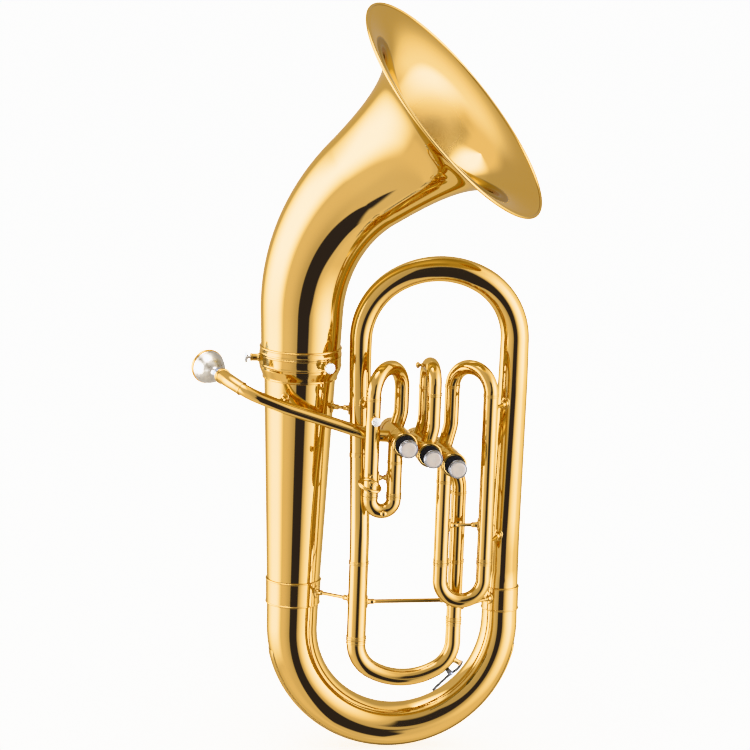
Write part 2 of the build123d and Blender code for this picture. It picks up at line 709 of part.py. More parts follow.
for number, ports in enumerate(PORTS):
    x, z = valve_x(number), valve_z(number)
    with BuildPart() as valve_casing:
        with BuildSketch(front_plane(x, CASING_BACK_Y, z)):
            Circle(CASING_RADIUS)
            Circle(CASING_BORE, mode=Mode.SUBTRACT)
        extrude(amount=CASING_BACK_Y - CASING_FRONT_Y)
        for sideways, level, direction in ports:
            with BuildSketch(Plane(origin=(x + sideways, level, z), z_dir=direction)):
                Circle(PORT_BORE)
            extrude(amount=CASING_RADIUS + 4, mode=Mode.SUBTRACT)
    save(valve_casing, f"valve_casing_{number + 1}")

    with BuildPart() as piston:
        with BuildSketch(front_plane(x, PISTON_BACK_Y, z)):
            Circle(PISTON_RADIUS)
        extrude(amount=PISTON_BACK_Y - PISTON_FRONT_Y)
        with BuildSketch(front_plane(x, PISTON_BACK_Y, z)):
            Circle(SPRING_RADIUS + 1.4)
        extrude(amount=PISTON_BACK_Y - SPRING_BORE_Y, mode=Mode.SUBTRACT)
        with BuildSketch(front_plane(x, STEM_BASE_Y, z)):
            Circle(9.5)
        extrude(amount=STEM_BASE_Y - PISTON_FRONT_Y, mode=Mode.SUBTRACT)
        with BuildSketch(Plane(origin=(x, LEVEL_MIDDLE, z), z_dir=ROW)):
            Circle(PORT_BORE - 1)
        extrude(amount=20, both=True, mode=Mode.SUBTRACT)
    save(piston, f"piston_{number + 1}")

    save(
        turned(
            (
                (0, 0),
                (8, 0),
                (8, 2),
                (STEM_RADIUS, 3),
                (STEM_RADIUS, STEM_BASE_Y - BUTTON_BACK_Y),
                (0, STEM_BASE_Y - BUTTON_BACK_Y),
            ),
            front_plane(x, STEM_BASE_Y, z),
        ),
        f"valve_stem_{number + 1}",
    )
    button_depth = BUTTON_BACK_Y - BUTTON_FRONT_Y
    save(
        turned(
            (
                (0, 0),
                (BUTTON_RADIUS - 1.5, 0),
                (BUTTON_RADIUS, 1.0),
                (BUTTON_RADIUS, button_depth - 0.8),
                (BUTTON_RADIUS - 0.8, button_depth),
                (INLAY_RADIUS, button_depth),
                (INLAY_RADIUS, button_depth - 1.2),
                (0, button_depth - 1.2),
            ),
            front_plane(x, BUTTON_BACK_Y, z),
        ),
        f"finger_button_{number + 1}",
    )
    save(
        turned(
            ((0, 0), (INLAY_RADIUS, 0), (INLAY_RADIUS, 0.9), (INLAY_RADIUS - 1.2, 1.3), (0, 1.5)),
            front_plane(x, BUTTON_FRONT_Y + 1.2, z),
        ),
        f"button_inlay_{number + 1}",
    )

    with BuildPart() as valve_spring:
        coil = Helix(
            pitch=3.4,
            height=27.2,
            radius=SPRING_RADIUS,
            center=(x, SPRING_SEAT_Y - 0.9, z),
            direction=(0, -1, 0),
        )
        with BuildSketch(Plane(origin=coil @ 0, z_dir=coil % 0)):
            Circle(0.5)
        sweep(path=coil)
    save(valve_spring, f"valve_spring_{number + 1}")

with BuildPart() as front_caps:
    for number in range(3):
        add(
            turned(
                (
                    (CASING_RADIUS, 0),
                    (CAP_RADIUS, 0),
                    (CAP_RADIUS, CAP_BACK_Y - CAP_FRONT_Y - 0.6),
                    (CAP_RADIUS - 0.6, CAP_BACK_Y - CAP_FRONT_Y),
                    (11.8, CAP_BACK_Y - CAP_FRONT_Y),
                    (11.8, CAP_BACK_Y - CAP_PLATE_Y),
                    (STEM_RADIUS + FIT, CAP_BACK_Y - CAP_PLATE_Y),
                    (STEM_RADIUS + FIT, CAP_BACK_Y - CASING_FRONT_Y),
                    (CASING_RADIUS, CAP_BACK_Y - CASING_FRONT_Y),
                ),
                front_plane(valve_x(number), CAP_BACK_Y, valve_z(number)),
            ).part
        )
save(front_caps, "front_caps")

with BuildPart() as cap_felts:
    for number in range(3):
        add(band(front_plane(valve_x(number), CAP_PLATE_Y, valve_z(number)), 3.2, 11.6, 1.4).part)
save(cap_felts, "cap_felts")

with BuildPart() as rear_caps:
    for number in range(3):
        add(
            turned(
                (
                    (2, 0),
                    (CASING_RADIUS - 1.2, 0),
                    (CASING_RADIUS, 1.2),
                    (CASING_RADIUS, REAR_CAP_Y - CASING_BACK_Y),
                    (CASING_BORE, REAR_CAP_Y - CASING_BACK_Y),
                    (CASING_BORE, REAR_CAP_Y - SPRING_SEAT_Y),
                    (2, REAR_CAP_Y - SPRING_SEAT_Y),
                ),
                front_plane(valve_x(number), REAR_CAP_Y, valve_z(number)),
            ).part
        )
save(rear_caps, "rear_caps")

with BuildPart() as valve_knuckles:
    for number in range(2):
        with BuildSketch(Plane(origin=(valve_x(number), LEVEL_MIDDLE, valve_z(number)), z_dir=ROW)):
            Circle(TUBE)
            Circle(PORT_BORE, mode=Mode.SUBTRACT)
        extrude(amount=sqrt(VALVE_PITCH_X**2 + VALVE_PITCH_Z**2))
    for number in range(3):
        add(valve_bore(number), mode=Mode.SUBTRACT)
save(valve_knuckles, "valve_knuckles")


# ---- valve slides -------------------------------------------------------------------------
def tube_ring(x, y, z):
    """Narrow ring round a vertical valve tube."""
    return band(upright(x, y, z), TUBE - 0.1, TUBE + RING_PROUD, RING_WIDTH).part


def slide_bow(points, corner, legs, reach):
    """Return bend of a slide with its two inner legs, which run up or down by reach."""
    with BuildPart() as bow:
        with BuildLine() as line:
            FilletPolyline(*points, radius=corner)
        with BuildSketch(across(line.wire(), 0)):
            Circle(TUBE)
            Circle(INNER_BORE, mode=Mode.SUBTRACT)
        sweep(path=line.wire())
        for x, y, z in legs:
            with BuildSketch(upright(x, y, z)):
                Circle(INNER)
                Circle(INNER_BORE, mode=Mode.SUBTRACT)
            extrude(amount=reach)
            with BuildSketch(upright(x, y, z)):
                Circle(TUBE + RING_PROUD)
                Circle(INNER + 0.2, mode=Mode.SUBTRACT)
            extrude(amount=-RING_WIDTH if reach > 0 else RING_WIDTH)
    return bow


with BuildLine() as first_line:
    FilletPolyline(
        (VALVE_X, LEVEL_BACK, VALVE_Z),
        (FIRST_TOP_X, LEVEL_BACK, 402),
        (FIRST_TOP_X, LEVEL_BACK, CROOK_TOP_Z),
        (FIRST_LEFT_X, LEVEL_FRONT, CROOK_TOP_Z),
        (FIRST_LEFT_X, LEVEL_FRONT, FIRST_JOINT_Z + SEAM),
        radius=[40, 28, 28],
    )
with BuildPart() as first_slide_legs:
    add(plain_tube(first_line.wire(), TUBE, PORT_BORE).part)
    with BuildSketch(upright(FIRST_RIGHT_X, LEVEL_FRONT, FIRST_JOINT_Z + SEAM)):
        Circle(TUBE)
        Circle(PORT_BORE, mode=Mode.SUBTRACT)
    extrude(amount=VALVE_Z - FIRST_JOINT_Z - SEAM)
    for x, z in ((FIRST_LEFT_X, 425), (FIRST_LEFT_X, FIRST_JOINT_Z + SEAM), (FIRST_RIGHT_X, FIRST_JOINT_Z + SEAM)):
        add(tube_ring(x, LEVEL_FRONT, z))
    add(tube_ring(FIRST_RIGHT_X, LEVEL_FRONT, 353))
    add(valve_bore(0), mode=Mode.SUBTRACT)
save(first_slide_legs, "first_slide_legs")

first_slide = slide_bow(
    (
        (FIRST_LEFT_X, LEVEL_FRONT, FIRST_JOINT_Z),
        (FIRST_LEFT_X, LEVEL_FRONT, FIRST_BEND_Z),
        (FIRST_RIGHT_X, LEVEL_FRONT, FIRST_BEND_Z),
        (FIRST_RIGHT_X, LEVEL_FRONT, FIRST_JOINT_Z),
    ),
    FIRST_BEND,
    ((FIRST_LEFT_X, LEVEL_FRONT, FIRST_JOINT_Z), (FIRST_RIGHT_X, LEVEL_FRONT, FIRST_JOINT_Z)),
    FIRST_REACH,
)
first_middle = (FIRST_LEFT_X + FIRST_RIGHT_X) / 2
with BuildPart() as first_slide_bow:
    add(first_slide.part)
    add(
        turned(
            ((0, TUBE - 1), (2.2, TUBE - 1), (2.2, 11), (3.6, 12), (3.6, 14.5), (2.4, 16), (0, 16)),
            front_plane(first_middle, LEVEL_FRONT, FIRST_BEND_Z),
        ).part
    )
save(first_slide_bow, "first_slide_bow")

with BuildPart() as second_slide_legs:
    for level in (LEVEL_FRONT, LEVEL_BACK):
        with BuildLine() as line:
            FilletPolyline(
                (valve_x(1), level, valve_z(1)),
                (SECOND_X, level, 394),
                (SECOND_X, level, SECOND_JOINT_Z - SEAM),
                radius=40,
            )
        with BuildSketch(across(line.wire(), 0)):
            Circle(TUBE)
            Circle(PORT_BORE, mode=Mode.SUBTRACT)
        sweep(path=line.wire())
    add(valve_bore(1), mode=Mode.SUBTRACT)
save(second_slide_legs, "second_slide_legs")

second_slide = slide_bow(
    (
        (SECOND_X, LEVEL_FRONT, SECOND_JOINT_Z),
        (SECOND_X, LEVEL_FRONT, CROOK_TOP_Z + 3),
        (SECOND_X, LEVEL_BACK, CROOK_TOP_Z + 3),
        (SECOND_X, LEVEL_BACK, SECOND_JOINT_Z),
    ),
    SECOND_BEND,
    ((SECOND_X, LEVEL_FRONT, SECOND_JOINT_Z), (SECOND_X, LEVEL_BACK, SECOND_JOINT_Z)),
    SECOND_REACH,
)
with BuildPart() as second_slide_bow:
    add(second_slide.part)
    add(
        turned(
            ((0, TUBE - 1), (2.2, TUBE - 1), (2.2, 11), (3.8, 12), (3.8, 14.5), (2.4, 16), (0, 16)),
            Plane(origin=(SECOND_X, LEVEL_MIDDLE + 8, CROOK_TOP_Z + 1.5), x_dir=(0, 1, 0), z_dir=(-1, 0, 0)),
        ).part
    )
save(second_slide_bow, "second_slide_bow")

with BuildLine() as third_line:
    FilletPolyline(
        (valve_x(2), LEVEL_BACK, valve_z(2)),
        (THIRD_TOP_X, LEVEL_BACK, 388),
        (THIRD_TOP_X, LEVEL_BACK, CROOK_TOP_Z),
        (THIRD_RIGHT_X, LEVEL_FRONT, CROOK_TOP_Z),
        (THIRD_RIGHT_X, LEVEL_FRONT, THIRD_JOINT_Z + SEAM),
        radius=[40, 26, 26],
    )
with BuildPart() as third_slide_legs:
    add(plain_tube(third_line.wire(), TUBE, PORT_BORE).part)
    with BuildSketch(upright(THIRD_LEFT_X, LEVEL_FRONT, THIRD_JOINT_Z + SEAM)):
        Circle(TUBE)
        Circle(PORT_BORE, mode=Mode.SUBTRACT)
    extrude(amount=valve_z(2) - THIRD_JOINT_Z - SEAM)
    for x, y, z in (
        (THIRD_TOP_X, LEVEL_BACK, 430),
        (THIRD_RIGHT_X, LEVEL_FRONT, 428),
        (THIRD_LEFT_X, LEVEL_FRONT, 330),
        (THIRD_LEFT_X, LEVEL_FRONT, THIRD_JOINT_Z + SEAM),
        (THIRD_RIGHT_X, LEVEL_FRONT, THIRD_JOINT_Z + SEAM),
    ):
        add(tube_ring(x, y, z))
    add(valve_bore(2), mode=Mode.SUBTRACT)
save(third_slide_legs, "third_slide_legs")

third_slide_bow = slide_bow(
    (
        (THIRD_LEFT_X, LEVEL_FRONT, THIRD_JOINT_Z),
        (THIRD_LEFT_X, LEVEL_FRONT, THIRD_BEND_Z),
        (THIRD_RIGHT_X, LEVEL_FRONT, THIRD_BEND_Z),
        (THIRD_RIGHT_X, LEVEL_FRONT, THIRD_JOINT_Z),
    ),
    THIRD_BEND,
    ((THIRD_LEFT_X, LEVEL_FRONT, THIRD_JOINT_Z), (THIRD_RIGHT_X, LEVEL_FRONT, THIRD_JOINT_Z)),
    THIRD_REACH,
)
save(third_slide_bow, "third_slide_bow")

with BuildLine() as outlet_line:
    FilletPolyline(
        (valve_x(2), LEVEL_MIDDLE, valve_z(2)),
        (MAIN_RIGHT_X, LEVEL_MIDDLE, 328),
        (MAIN_RIGHT_X, LEVEL_MIDDLE, RECEIVER_TOP_Z),
        radius=36,
    )
with BuildPart() as valve_outlet:
    add(plain_tube(outlet_line.wire(), MAIN_RIGHT_RADIUS, MAIN_RIGHT_BORE).part)
    add(band(upright(MAIN_RIGHT_X, LEVEL_MIDDLE, 312), MAIN_RIGHT_RADIUS - 0.1, 9.1, RING_WIDTH).part)
    add(valve_bore(2), mode=Mode.SUBTRACT)
save(valve_outlet, "valve_outlet")

# ---- leadpipe and mouthpiece --------------------------------------------------------------
mouth_axis = (Vector(*RECEIVER_MOUTH) - Vector(*RECEIVER_CORNER)).normalized()
with BuildLine() as pipe_line:
    FilletPolyline(
        PIPE_FERRULE, *PIPE_ROUTE, (VALVE_X, LEVEL_MIDDLE, VALVE_Z), radius=[36, 200, 90]
    )
pipe_wire = pipe_line.wire()
with BuildPart() as leadpipe:
    add(plain_tube(pipe_wire, PIPE_RADIUS, PIPE_BORE).part)
    add(valve_bore(0), mode=Mode.SUBTRACT)
save(leadpipe, "leadpipe")

with BuildPart() as mouthpiece_receiver:
    with BuildLine() as socket_line:
        FilletPolyline(RECEIVER_MOUTH, RECEIVER_CORNER, PIPE_FERRULE, radius=36)
    socket_wire = socket_line.wire()
    for index in range(9):
        with BuildSketch(across(socket_wire, index / 8)):
            Circle(SOCKET_RADIUS - SOCKET_TAPER * index / 8)
    sweep(path=socket_wire, multisection=True)
    with BuildSketch(across(socket_wire, 0)):
        Circle(PIPE_BORE)
    sweep(path=socket_wire, mode=Mode.SUBTRACT)
    with BuildSketch(across(pipe_wire, 0)):
        Circle(PIPE_RADIUS + 1.0)
        Circle(PIPE_RADIUS + 0.05, mode=Mode.SUBTRACT)
    extrude(amount=1.5)
save(mouthpiece_receiver, "mouthpiece_receiver")

mouth_plane = Plane(origin=RECEIVER_MOUTH, x_dir=(1, 0, 0), z_dir=mouth_axis)
mouth_profile = Plane(origin=mouth_plane.origin, x_dir=mouth_plane.x_dir, z_dir=-mouth_plane.y_dir)
with BuildPart() as mouthpiece:
    with BuildSketch(mouth_profile):
        with BuildLine():
            Line((4.4, -16), (6.0, -16))
            Line((6.0, -16), (PIPE_BORE - FIT, 0))
            Spline((PIPE_BORE - FIT, 0), (5.6, 7), (5.9, 13), (10.5, 18), (16.2, 27), (18.6, 36))
            Line((18.6, 36), (19.6, 38))
            ThreePointArc((19.6, 38), (17.0, 42.4), (13.2, 39.5))
            Spline((13.2, 39.5), (11.8, 30), (7.5, 22.5), (3.2, 16))
            Line((3.2, 16), (3.2, 8))
            Line((3.2, 8), (4.4, -16))
        make_face()
    revolve(axis=Axis(mouth_plane.origin, mouth_plane.z_dir))
save(mouthpiece, "mouthpiece")

# ---- braces, finger ring and lyre post ----------------------------------------------------
pipe_lean = (Vector(*PIPE_ROUTE[1]) - Vector(*PIPE_ROUTE[0])).normalized()
pipe_brace_point = Vector(*PIPE_ROUTE[0]) + pipe_lean * 29
with BuildPart() as leadpipe_brace:
    add(
        brace(
            pipe_brace_point,
            (-HALF_WIDTH, 0, pipe_brace_point.Z),
            PIPE_RADIUS,
            39.8,
            pipe_lean,
        )
    )
save(leadpipe_brace, "leadpipe_brace")

with BuildPart() as branch_braces:
    leg_point, leg_axis = at_height(upper_leg_line.wire(), BRANCH_BRACE_Z)
    add(brace((-HALF_WIDTH, 0, BRANCH_BRACE_Z), leg_point, 39.3, 12.2, end_axis=leg_axis))
    add(
        brace(
            (-HALF_WIDTH, 0, FOOT_BRACE_Z),
            (MAIN_LEFT_X, SLIDE_PLANE, FOOT_BRACE_Z),
            BOW_START_RADIUS + 1.7,
            MAIN_LEFT_RADIUS,
        )
    )
    add(
        brace(
            (MAIN_LEFT_X, SLIDE_PLANE, SLIDE_BRACE_Z),
            (MAIN_RIGHT_X, SLIDE_PLANE, SLIDE_BRACE_Z),
            MAIN_LEFT_RADIUS,
            MAIN_RIGHT_RADIUS,
        )
    )
    add(
        brace(
            (MAIN_RIGHT_X, SLIDE_PLANE, SIDE_BRACE_Z),
            (HALF_WIDTH, 0, SIDE_BRACE_Z),
            MAIN_RIGHT_RADIUS,
            BOW_END_RADIUS + 1.5,
        )
    )
save(branch_braces, "branch_braces")

with BuildPart() as slide_braces:
    leg_point, leg_axis = at_height(upper_leg_line.wire(), LEG_BRACE_Z)
    add(brace(leg_point, (FIRST_LEFT_X, LEVEL_FRONT, LEG_BRACE_Z), 12.3, TUBE, start_axis=leg_axis))
    for left_x, right_x, height in (
        (FIRST_LEFT_X, FIRST_RIGHT_X, FIRST_BRACE_Z),
        (THIRD_LEFT_X, THIRD_RIGHT_X, THIRD_BRACE_Z),
    ):
        add(brace((left_x, LEVEL_FRONT, height), (right_x, LEVEL_FRONT, height), TUBE, TUBE))
    for height, radius in RIGHT_BRACES:
        branch_point, branch_axis = at_height(branch_line.wire(), height)
        add(brace((THIRD_RIGHT_X, LEVEL_FRONT, height), branch_point, TUBE, radius, end_axis=branch_axis))
save(slide_braces, "slide_braces")

ring_centre = Vector(FIRST_LEFT_X - 5.5, LEVEL_FRONT - TUBE - RING_RADIUS - 1.4, RING_LUG_Z - 2)
ring_plane = Plane(origin=ring_centre, x_dir=(1, 0, 0), z_dir=(0.27, -0.32, 0.91))
with BuildPart() as finger_ring:
    with BuildSketch(Plane(origin=ring_centre, x_dir=ring_plane.x_dir, z_dir=-ring_plane.y_dir)):
        with Locations((RING_RADIUS, 0)):
            Circle(RING_WIRE)
    revolve(axis=Axis(ring_centre, ring_plane.z_dir))
    with BuildSketch(upright(FIRST_LEFT_X, LEVEL_FRONT, RING_LUG_Z)):
        with Locations((0, -TUBE - 1)):
            Rectangle(6, 4)
    extrude(amount=6, both=True)
    with BuildSketch(upright(FIRST_LEFT_X, LEVEL_FRONT, RING_LUG_Z)):
        Circle(TUBE)
    extrude(amount=30, both=True, mode=Mode.SUBTRACT)
save(finger_ring, "finger_ring")

with BuildPart() as lyre_post:
    with BuildSketch(front_plane(FIRST_LEFT_X, LEVEL_FRONT, LYRE_Z)):
        Circle(4.4)
    extrude(amount=TUBE + 7)
    with BuildSketch(upright(FIRST_LEFT_X, LEVEL_FRONT - TUBE - 3.4, LYRE_Z - 10)):
        Rectangle(4, 4)
    extrude(amount=20, mode=Mode.SUBTRACT)
    with BuildSketch(front_plane(FIRST_LEFT_X, LEVEL_FRONT - TUBE - 3, LYRE_Z)):
        Circle(1.6)
    extrude(amount=8, mode=Mode.SUBTRACT)
    with BuildSketch(upright(FIRST_LEFT_X, LEVEL_FRONT, LYRE_Z - 20)):
        Circle(TUBE)
    extrude(amount=40, mode=Mode.SUBTRACT)
save(lyre_post, "lyre_post")

lyre_screw = turned(
    ((0, 0), (1.5, 0), (1.5, 4.6), (5.0, 4.6), (5.3, 5.4), (5.3, 6.8), (4.6, 7.6), (0, 7.6)),
    front_plane(FIRST_LEFT_X, LEVEL_FRONT - TUBE - 5.6, LYRE_Z),
)
save(lyre_screw, "lyre_screw")
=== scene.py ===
import bmesh
import bpy
from math import acos, asin, cos, pi, radians, sin, sqrt, tan
from mathutils import Matrix, Vector


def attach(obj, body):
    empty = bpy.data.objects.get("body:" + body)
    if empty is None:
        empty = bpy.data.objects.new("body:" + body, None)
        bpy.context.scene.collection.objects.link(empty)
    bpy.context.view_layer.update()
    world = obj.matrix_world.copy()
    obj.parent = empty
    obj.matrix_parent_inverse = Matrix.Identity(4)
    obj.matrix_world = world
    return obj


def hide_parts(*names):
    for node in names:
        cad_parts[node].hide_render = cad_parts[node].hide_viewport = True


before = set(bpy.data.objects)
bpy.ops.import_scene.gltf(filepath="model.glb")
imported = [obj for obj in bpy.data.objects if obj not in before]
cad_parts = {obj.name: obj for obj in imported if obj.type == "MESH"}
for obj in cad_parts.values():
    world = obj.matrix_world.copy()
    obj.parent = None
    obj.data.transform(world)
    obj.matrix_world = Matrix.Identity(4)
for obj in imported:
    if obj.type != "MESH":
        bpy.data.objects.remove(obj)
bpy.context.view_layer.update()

MM = 0.001

# ---- dimensions shared with the frame, in millimetres -------------------------------------
HALF_WIDTH = 121.2
SHEET = 0.7
FIT = 0.05
SEAM = 0.3
BOW_START_RADIUS = 29.8
BOW_END_RADIUS = 20.0
GUARD = 1.2
BOW_CENTRE_Z = HALF_WIDTH + (BOW_START_RADIUS + BOW_END_RADIUS) / 2 + GUARD - 0.3
GUARD_DROP = 11.0
GUARD_HALF_WIDTH = 12.0
GUARD_ROWS = 120
GUARD_COLUMNS = 60
LEFT_FERRULE = (173.0, 202.0)
RIGHT_FERRULE = (161.5, 189.0)
LEFT_JOINT_Z = 187.0
RIGHT_JOINT_Z = 176.0
BRANCH_TOP_RADIUS = 40.6
BRANCH_TOP_Z = 446.0
FUNNEL_Z = 435.0
COLLAR_LINE_Z = 451.0
BELL_JOINT_Z = 462.5
TENON_TOP_Z = 471.5
COLLAR_RADIUS = 46.6
COLLAR_BORE = 44.0
TENON_FOOT_Z = 447.0
SCREW_ANGLES = (67.0, 187.0, 307.0)
SCREW_Z = 457.0
BELL_RADIUS = 147.5
RIM_WIRE = 1.7
BELL_FLARE = 0.295
BELL_THROAT = 6.2
BELL_TURN = 48.8
BELL_HEADING = 26.0
BELL_BEND_RADIUS = 203.0
BELL_STRAIGHT = 130.0
BELL_BEND_Z = 512.0
FLARE_END = 0.5
TOP_BOW_Z = 484.0
TOP_LEFT_RADIUS = 12.7
TOP_RIGHT_RADIUS = 16.2
TOP_RIGHT_X = 117.0
TOP_LEFT_Y = -24.0
TOP_RIGHT_Y = -34.0
TOP_SHOULDER = 78.0
FEED_JOINT_Z = 357.0
FEED_JOINT_RADIUS = 11.5
LEVEL_FRONT = -78.0
LEVEL_MIDDLE = -57.5
LEVEL_BACK = -37.0
SLIDE_PLANE = -57.5
TUBE = 8.4
TUBE_WALL = 0.6
INNER = TUBE - TUBE_WALL - FIT
INNER_BORE = INNER - 0.55
PORT_BORE = TUBE - TUBE_WALL
RING_WIDTH = 3.5
RING_PROUD = 0.5
VALVE_X = -18.0
VALVE_Z = 378.5
VALVE_PITCH_X = 28.4
VALVE_PITCH_Z = -11.7
CASING_RADIUS = 13.0
CASING_BORE = 12.2
CASING_BACK_Y = -18.0
CASING_FRONT_Y = -96.0
PISTON_BACK_Y = -36.0
PISTON_FRONT_Y = -94.0
CAP_RADIUS = 14.0
CAP_BACK_Y = -88.0
CAP_FRONT_Y = -99.0
CAP_PLATE_Y = -98.0
REAR_CAP_Y = -14.0
STEM_RADIUS = 2.5
STEM_BASE_Y = -82.0
BUTTON_BACK_Y = -117.0
BUTTON_FRONT_Y = -121.0
BUTTON_RADIUS = 10.1
INLAY_RADIUS = 8.8
SPRING_SEAT_Y = -20.0
SPRING_RADIUS = 6.6
MAIN_LEFT_X = -57.5
MAIN_RIGHT_X = 54.5
MAIN_LEFT_RADIUS = 10.9
MAIN_RIGHT_RADIUS = 8.5
MAIN_LEFT_BORE = 10.2
MAIN_RIGHT_BORE = 7.9
MAIN_LEFT_Z = 144.0
MAIN_RIGHT_Z = 164.0
MAIN_SPRING_Z = 140.0
MAIN_SHOULDER = 36.9
RECEIVER_TOP_Z = 236.0
FIRST_LEFT_X = -51.3
FIRST_RIGHT_X = -24.7
FIRST_TOP_X = -10.9
FIRST_JOINT_Z = 316.0
FIRST_BEND_Z = 298.5
SECOND_X = 17.0
SECOND_JOINT_Z = 430.0
THIRD_TOP_X = 47.0
THIRD_RIGHT_X = 82.0
THIRD_LEFT_X = 32.2
THIRD_JOINT_Z = 238.0
THIRD_BEND_Z = 192.8
CROOK_TOP_Z = 457.5
PIPE_RADIUS = 7.0
PIPE_BORE = 6.4
RECEIVER_MOUTH = (-211.5, -9.0, 439.2)
RECEIVER_CORNER = (-204.4, -35.5, 437.4)
PIPE_FERRULE = (-195.2, -45.0, 432.7)
PIPE_ROUTE = ((-186.0, -54.5, 428.0), (-150.0, -57.5, 414.0), (-52.0, -57.5, 381.5))
LYRE_Z = 405.0

UPPER_STRUT_Z = 405.0
LOWER_STRUT_Z = 190.0
SLIDE_STRUT_Z = 188.0
RIGHT_STRUT_Z = 177.0
FEED_STRUT_Z = 414.0
FIRST_STRUT_Z = 337.0
THIRD_STRUT_Z = 281.0
FEED_TOP_Z = 455.0
FEED_FOOT_Z = 262.0
LEG_BEND_RADIUS = 280.0
PORT_BEND_RADIUS = 40.0
BUTTON_SEAT = 1.2
SCREW_FACE = 59.5
CUP_LIP_RADIUS = 16.35
CUP_LIP_HEIGHT = 39.2
RING_RADIUS = 11.8
RING_WIRE = 2.2
RING_LUG_Z = 335.5
CAMERA_AZIMUTH = -12.0

UP = Vector((0, 0, 1))
EAST = Vector((1, 0, 0))
NORTH = Vector((0, 1, 0))
FRONT = -NORTH


def valve_x(number):
    return VALVE_X + number * VALVE_PITCH_X


def valve_z(number):
    return VALVE_Z + number * VALVE_PITCH_Z


# ---- paths: lists of (point, direction) in millimetres ------------------------------------
def filleted(points, radii, turn=3.0):
    """Straight runs joined by tangent arcs."""
    points = [Vector(p) for p in points]
    if not hasattr(radii, "__len__"):
        radii = [radii] * (len(points) - 2)
    first = (points[1] - points[0]).normalized()
    path = [(points[0], first)]
    for before, corner, after, radius in zip(points, points[1:], points[2:], radii):
        come = (corner - before).normalized()
        go = (after - corner).normalized()
        bend = acos(max(-1.0, min(1.0, come.dot(go))))
        if bend < 1e-5:
            continue
        side = (go - come * come.dot(go)).normalized()
        start = corner - come * radius * tan(bend / 2)
        centre = start + side * radius
        steps = max(3, int(bend / radians(turn)))
        for index in range(steps + 1):
            angle = bend * index / steps
            point = centre + (come * sin(angle) - side * cos(angle)) * radius
            path.append((point, come * cos(angle) + side * sin(angle)))
    path.append((points[-1], (points[-1] - points[-2]).normalized()))
    return tidy(path)


def tidy(path):
    """Drop points that fall on the one before."""
    kept = [path[0]]
    for point, direction in path[1:]:
        if (point - kept[-1][0]).length > 0.02:
            kept.append((point, direction))
    return kept


def arc(centre, radius, start, sweep, right, upward, turn=2.0):
    """Part of a circle, with angles in degrees measured from right towards upward."""
    steps = max(3, int(abs(sweep) / turn))
    path = []
    for index in range(steps + 1):
        angle = radians(start + sweep * index / steps)
        out = right * cos(angle) + upward * sin(angle)
        along = (upward * cos(angle) - right * sin(angle)) * (1 if sweep > 0 else -1)
        path.append((centre + out * radius, along))
    return path


def lengths(path):
    """Distance along a path at each of its points."""
    total = [0.0]
    for (a, _), (b, _) in zip(path, path[1:]):
        total.append(total[-1] + (b - a).length)
    return total


def refined(path, step):
    """The same path with long straight runs divided."""
    fine = [path[0]]
    for (a, da), (b, db) in zip(path, path[1:]):
        parts = max(1, int((b - a).length / step)) if da.angle(db) < 1e-4 else 1
        for index in range(1, parts):
            fine.append((a.lerp(b, index / parts), da))
        fine.append((b, db))
    return fine


# ---- mesh forms ---------------------------------------------------------------------------
class Form:
    """Closed surfaces gathered into one mesh, in millimetres."""

    def __init__(self):
        self.points = []
        self.faces = []

    def add_ring(self, ring):
        start = len(self.points)
        self.points.extend(tuple(p) for p in ring)
        return list(range(start, start + len(ring)))

    def skin(self, rings, loop=False):
        """Bridge rings of equal count, where a ring of one point is a pole."""
        rows = [self.add_ring(r) for r in rings]
        pairs = list(zip(rows, rows[1:]))
        if loop:
            pairs.append((rows[-1], rows[0]))
        for low, high in pairs:
            count = max(len(low), len(high))
            for k in range(count):
                j = (k + 1) % count
                a = low[k] if len(low) > 1 else low[0]
                b = low[j] if len(low) > 1 else low[0]
                c = high[j] if len(high) > 1 else high[0]
                d = high[k] if len(high) > 1 else high[0]
                face = []
                for index in (a, b, c, d):
                    if index not in face:
                        face.append(index)
                if len(face) > 2:
                    self.faces.append(face)
        return self

    def sheet(self, outer, inner):
        """Closed shell between two grids of points of the same shape."""
        rows, cols = len(outer), len(outer[0])
        ids = [self.add_ring([*above, *reversed(below)]) for above, below in zip(outer, inner)]
        span = 2 * cols
        for r in range(rows - 1):
            for k in range(span):
                j = (k + 1) % span
                self.faces.append([ids[r][k], ids[r][j], ids[r + 1][j], ids[r + 1][k]])
        for row, flip in ((ids[0], True), (ids[-1], False)):
            for k in range(cols - 1):
                face = [row[k], row[k + 1], row[span - 2 - k], row[span - 1 - k]]
                self.faces.append(face[::-1] if flip else face)
        return self


def frames(path):
    """Two vectors square to the path at each point, turning as little as possible."""
    first = path[0][1]
    hint = NORTH if abs(first.y) < 0.9 else EAST
    u = (hint - first * hint.dot(first)).normalized()
    result = []
    previous = first
    for _, direction in path:
        u = previous.rotation_difference(direction) @ u
        u = (u - direction * u.dot(direction)).normalized()
        result.append((u, direction.cross(u)))
        previous = direction
    return result


def circle(point, u, v, radius, segments):
    angles = [2 * pi * k / segments for k in range(segments)]
    return [point + u * (radius * cos(angle)) + v * (radius * sin(angle)) for angle in angles]


def sides_for(radius):
    """Number of sides that keeps a polished tube smooth."""
    return int(min(160, max(32, 8 * round(radius ** 0.5 * 2.6))))


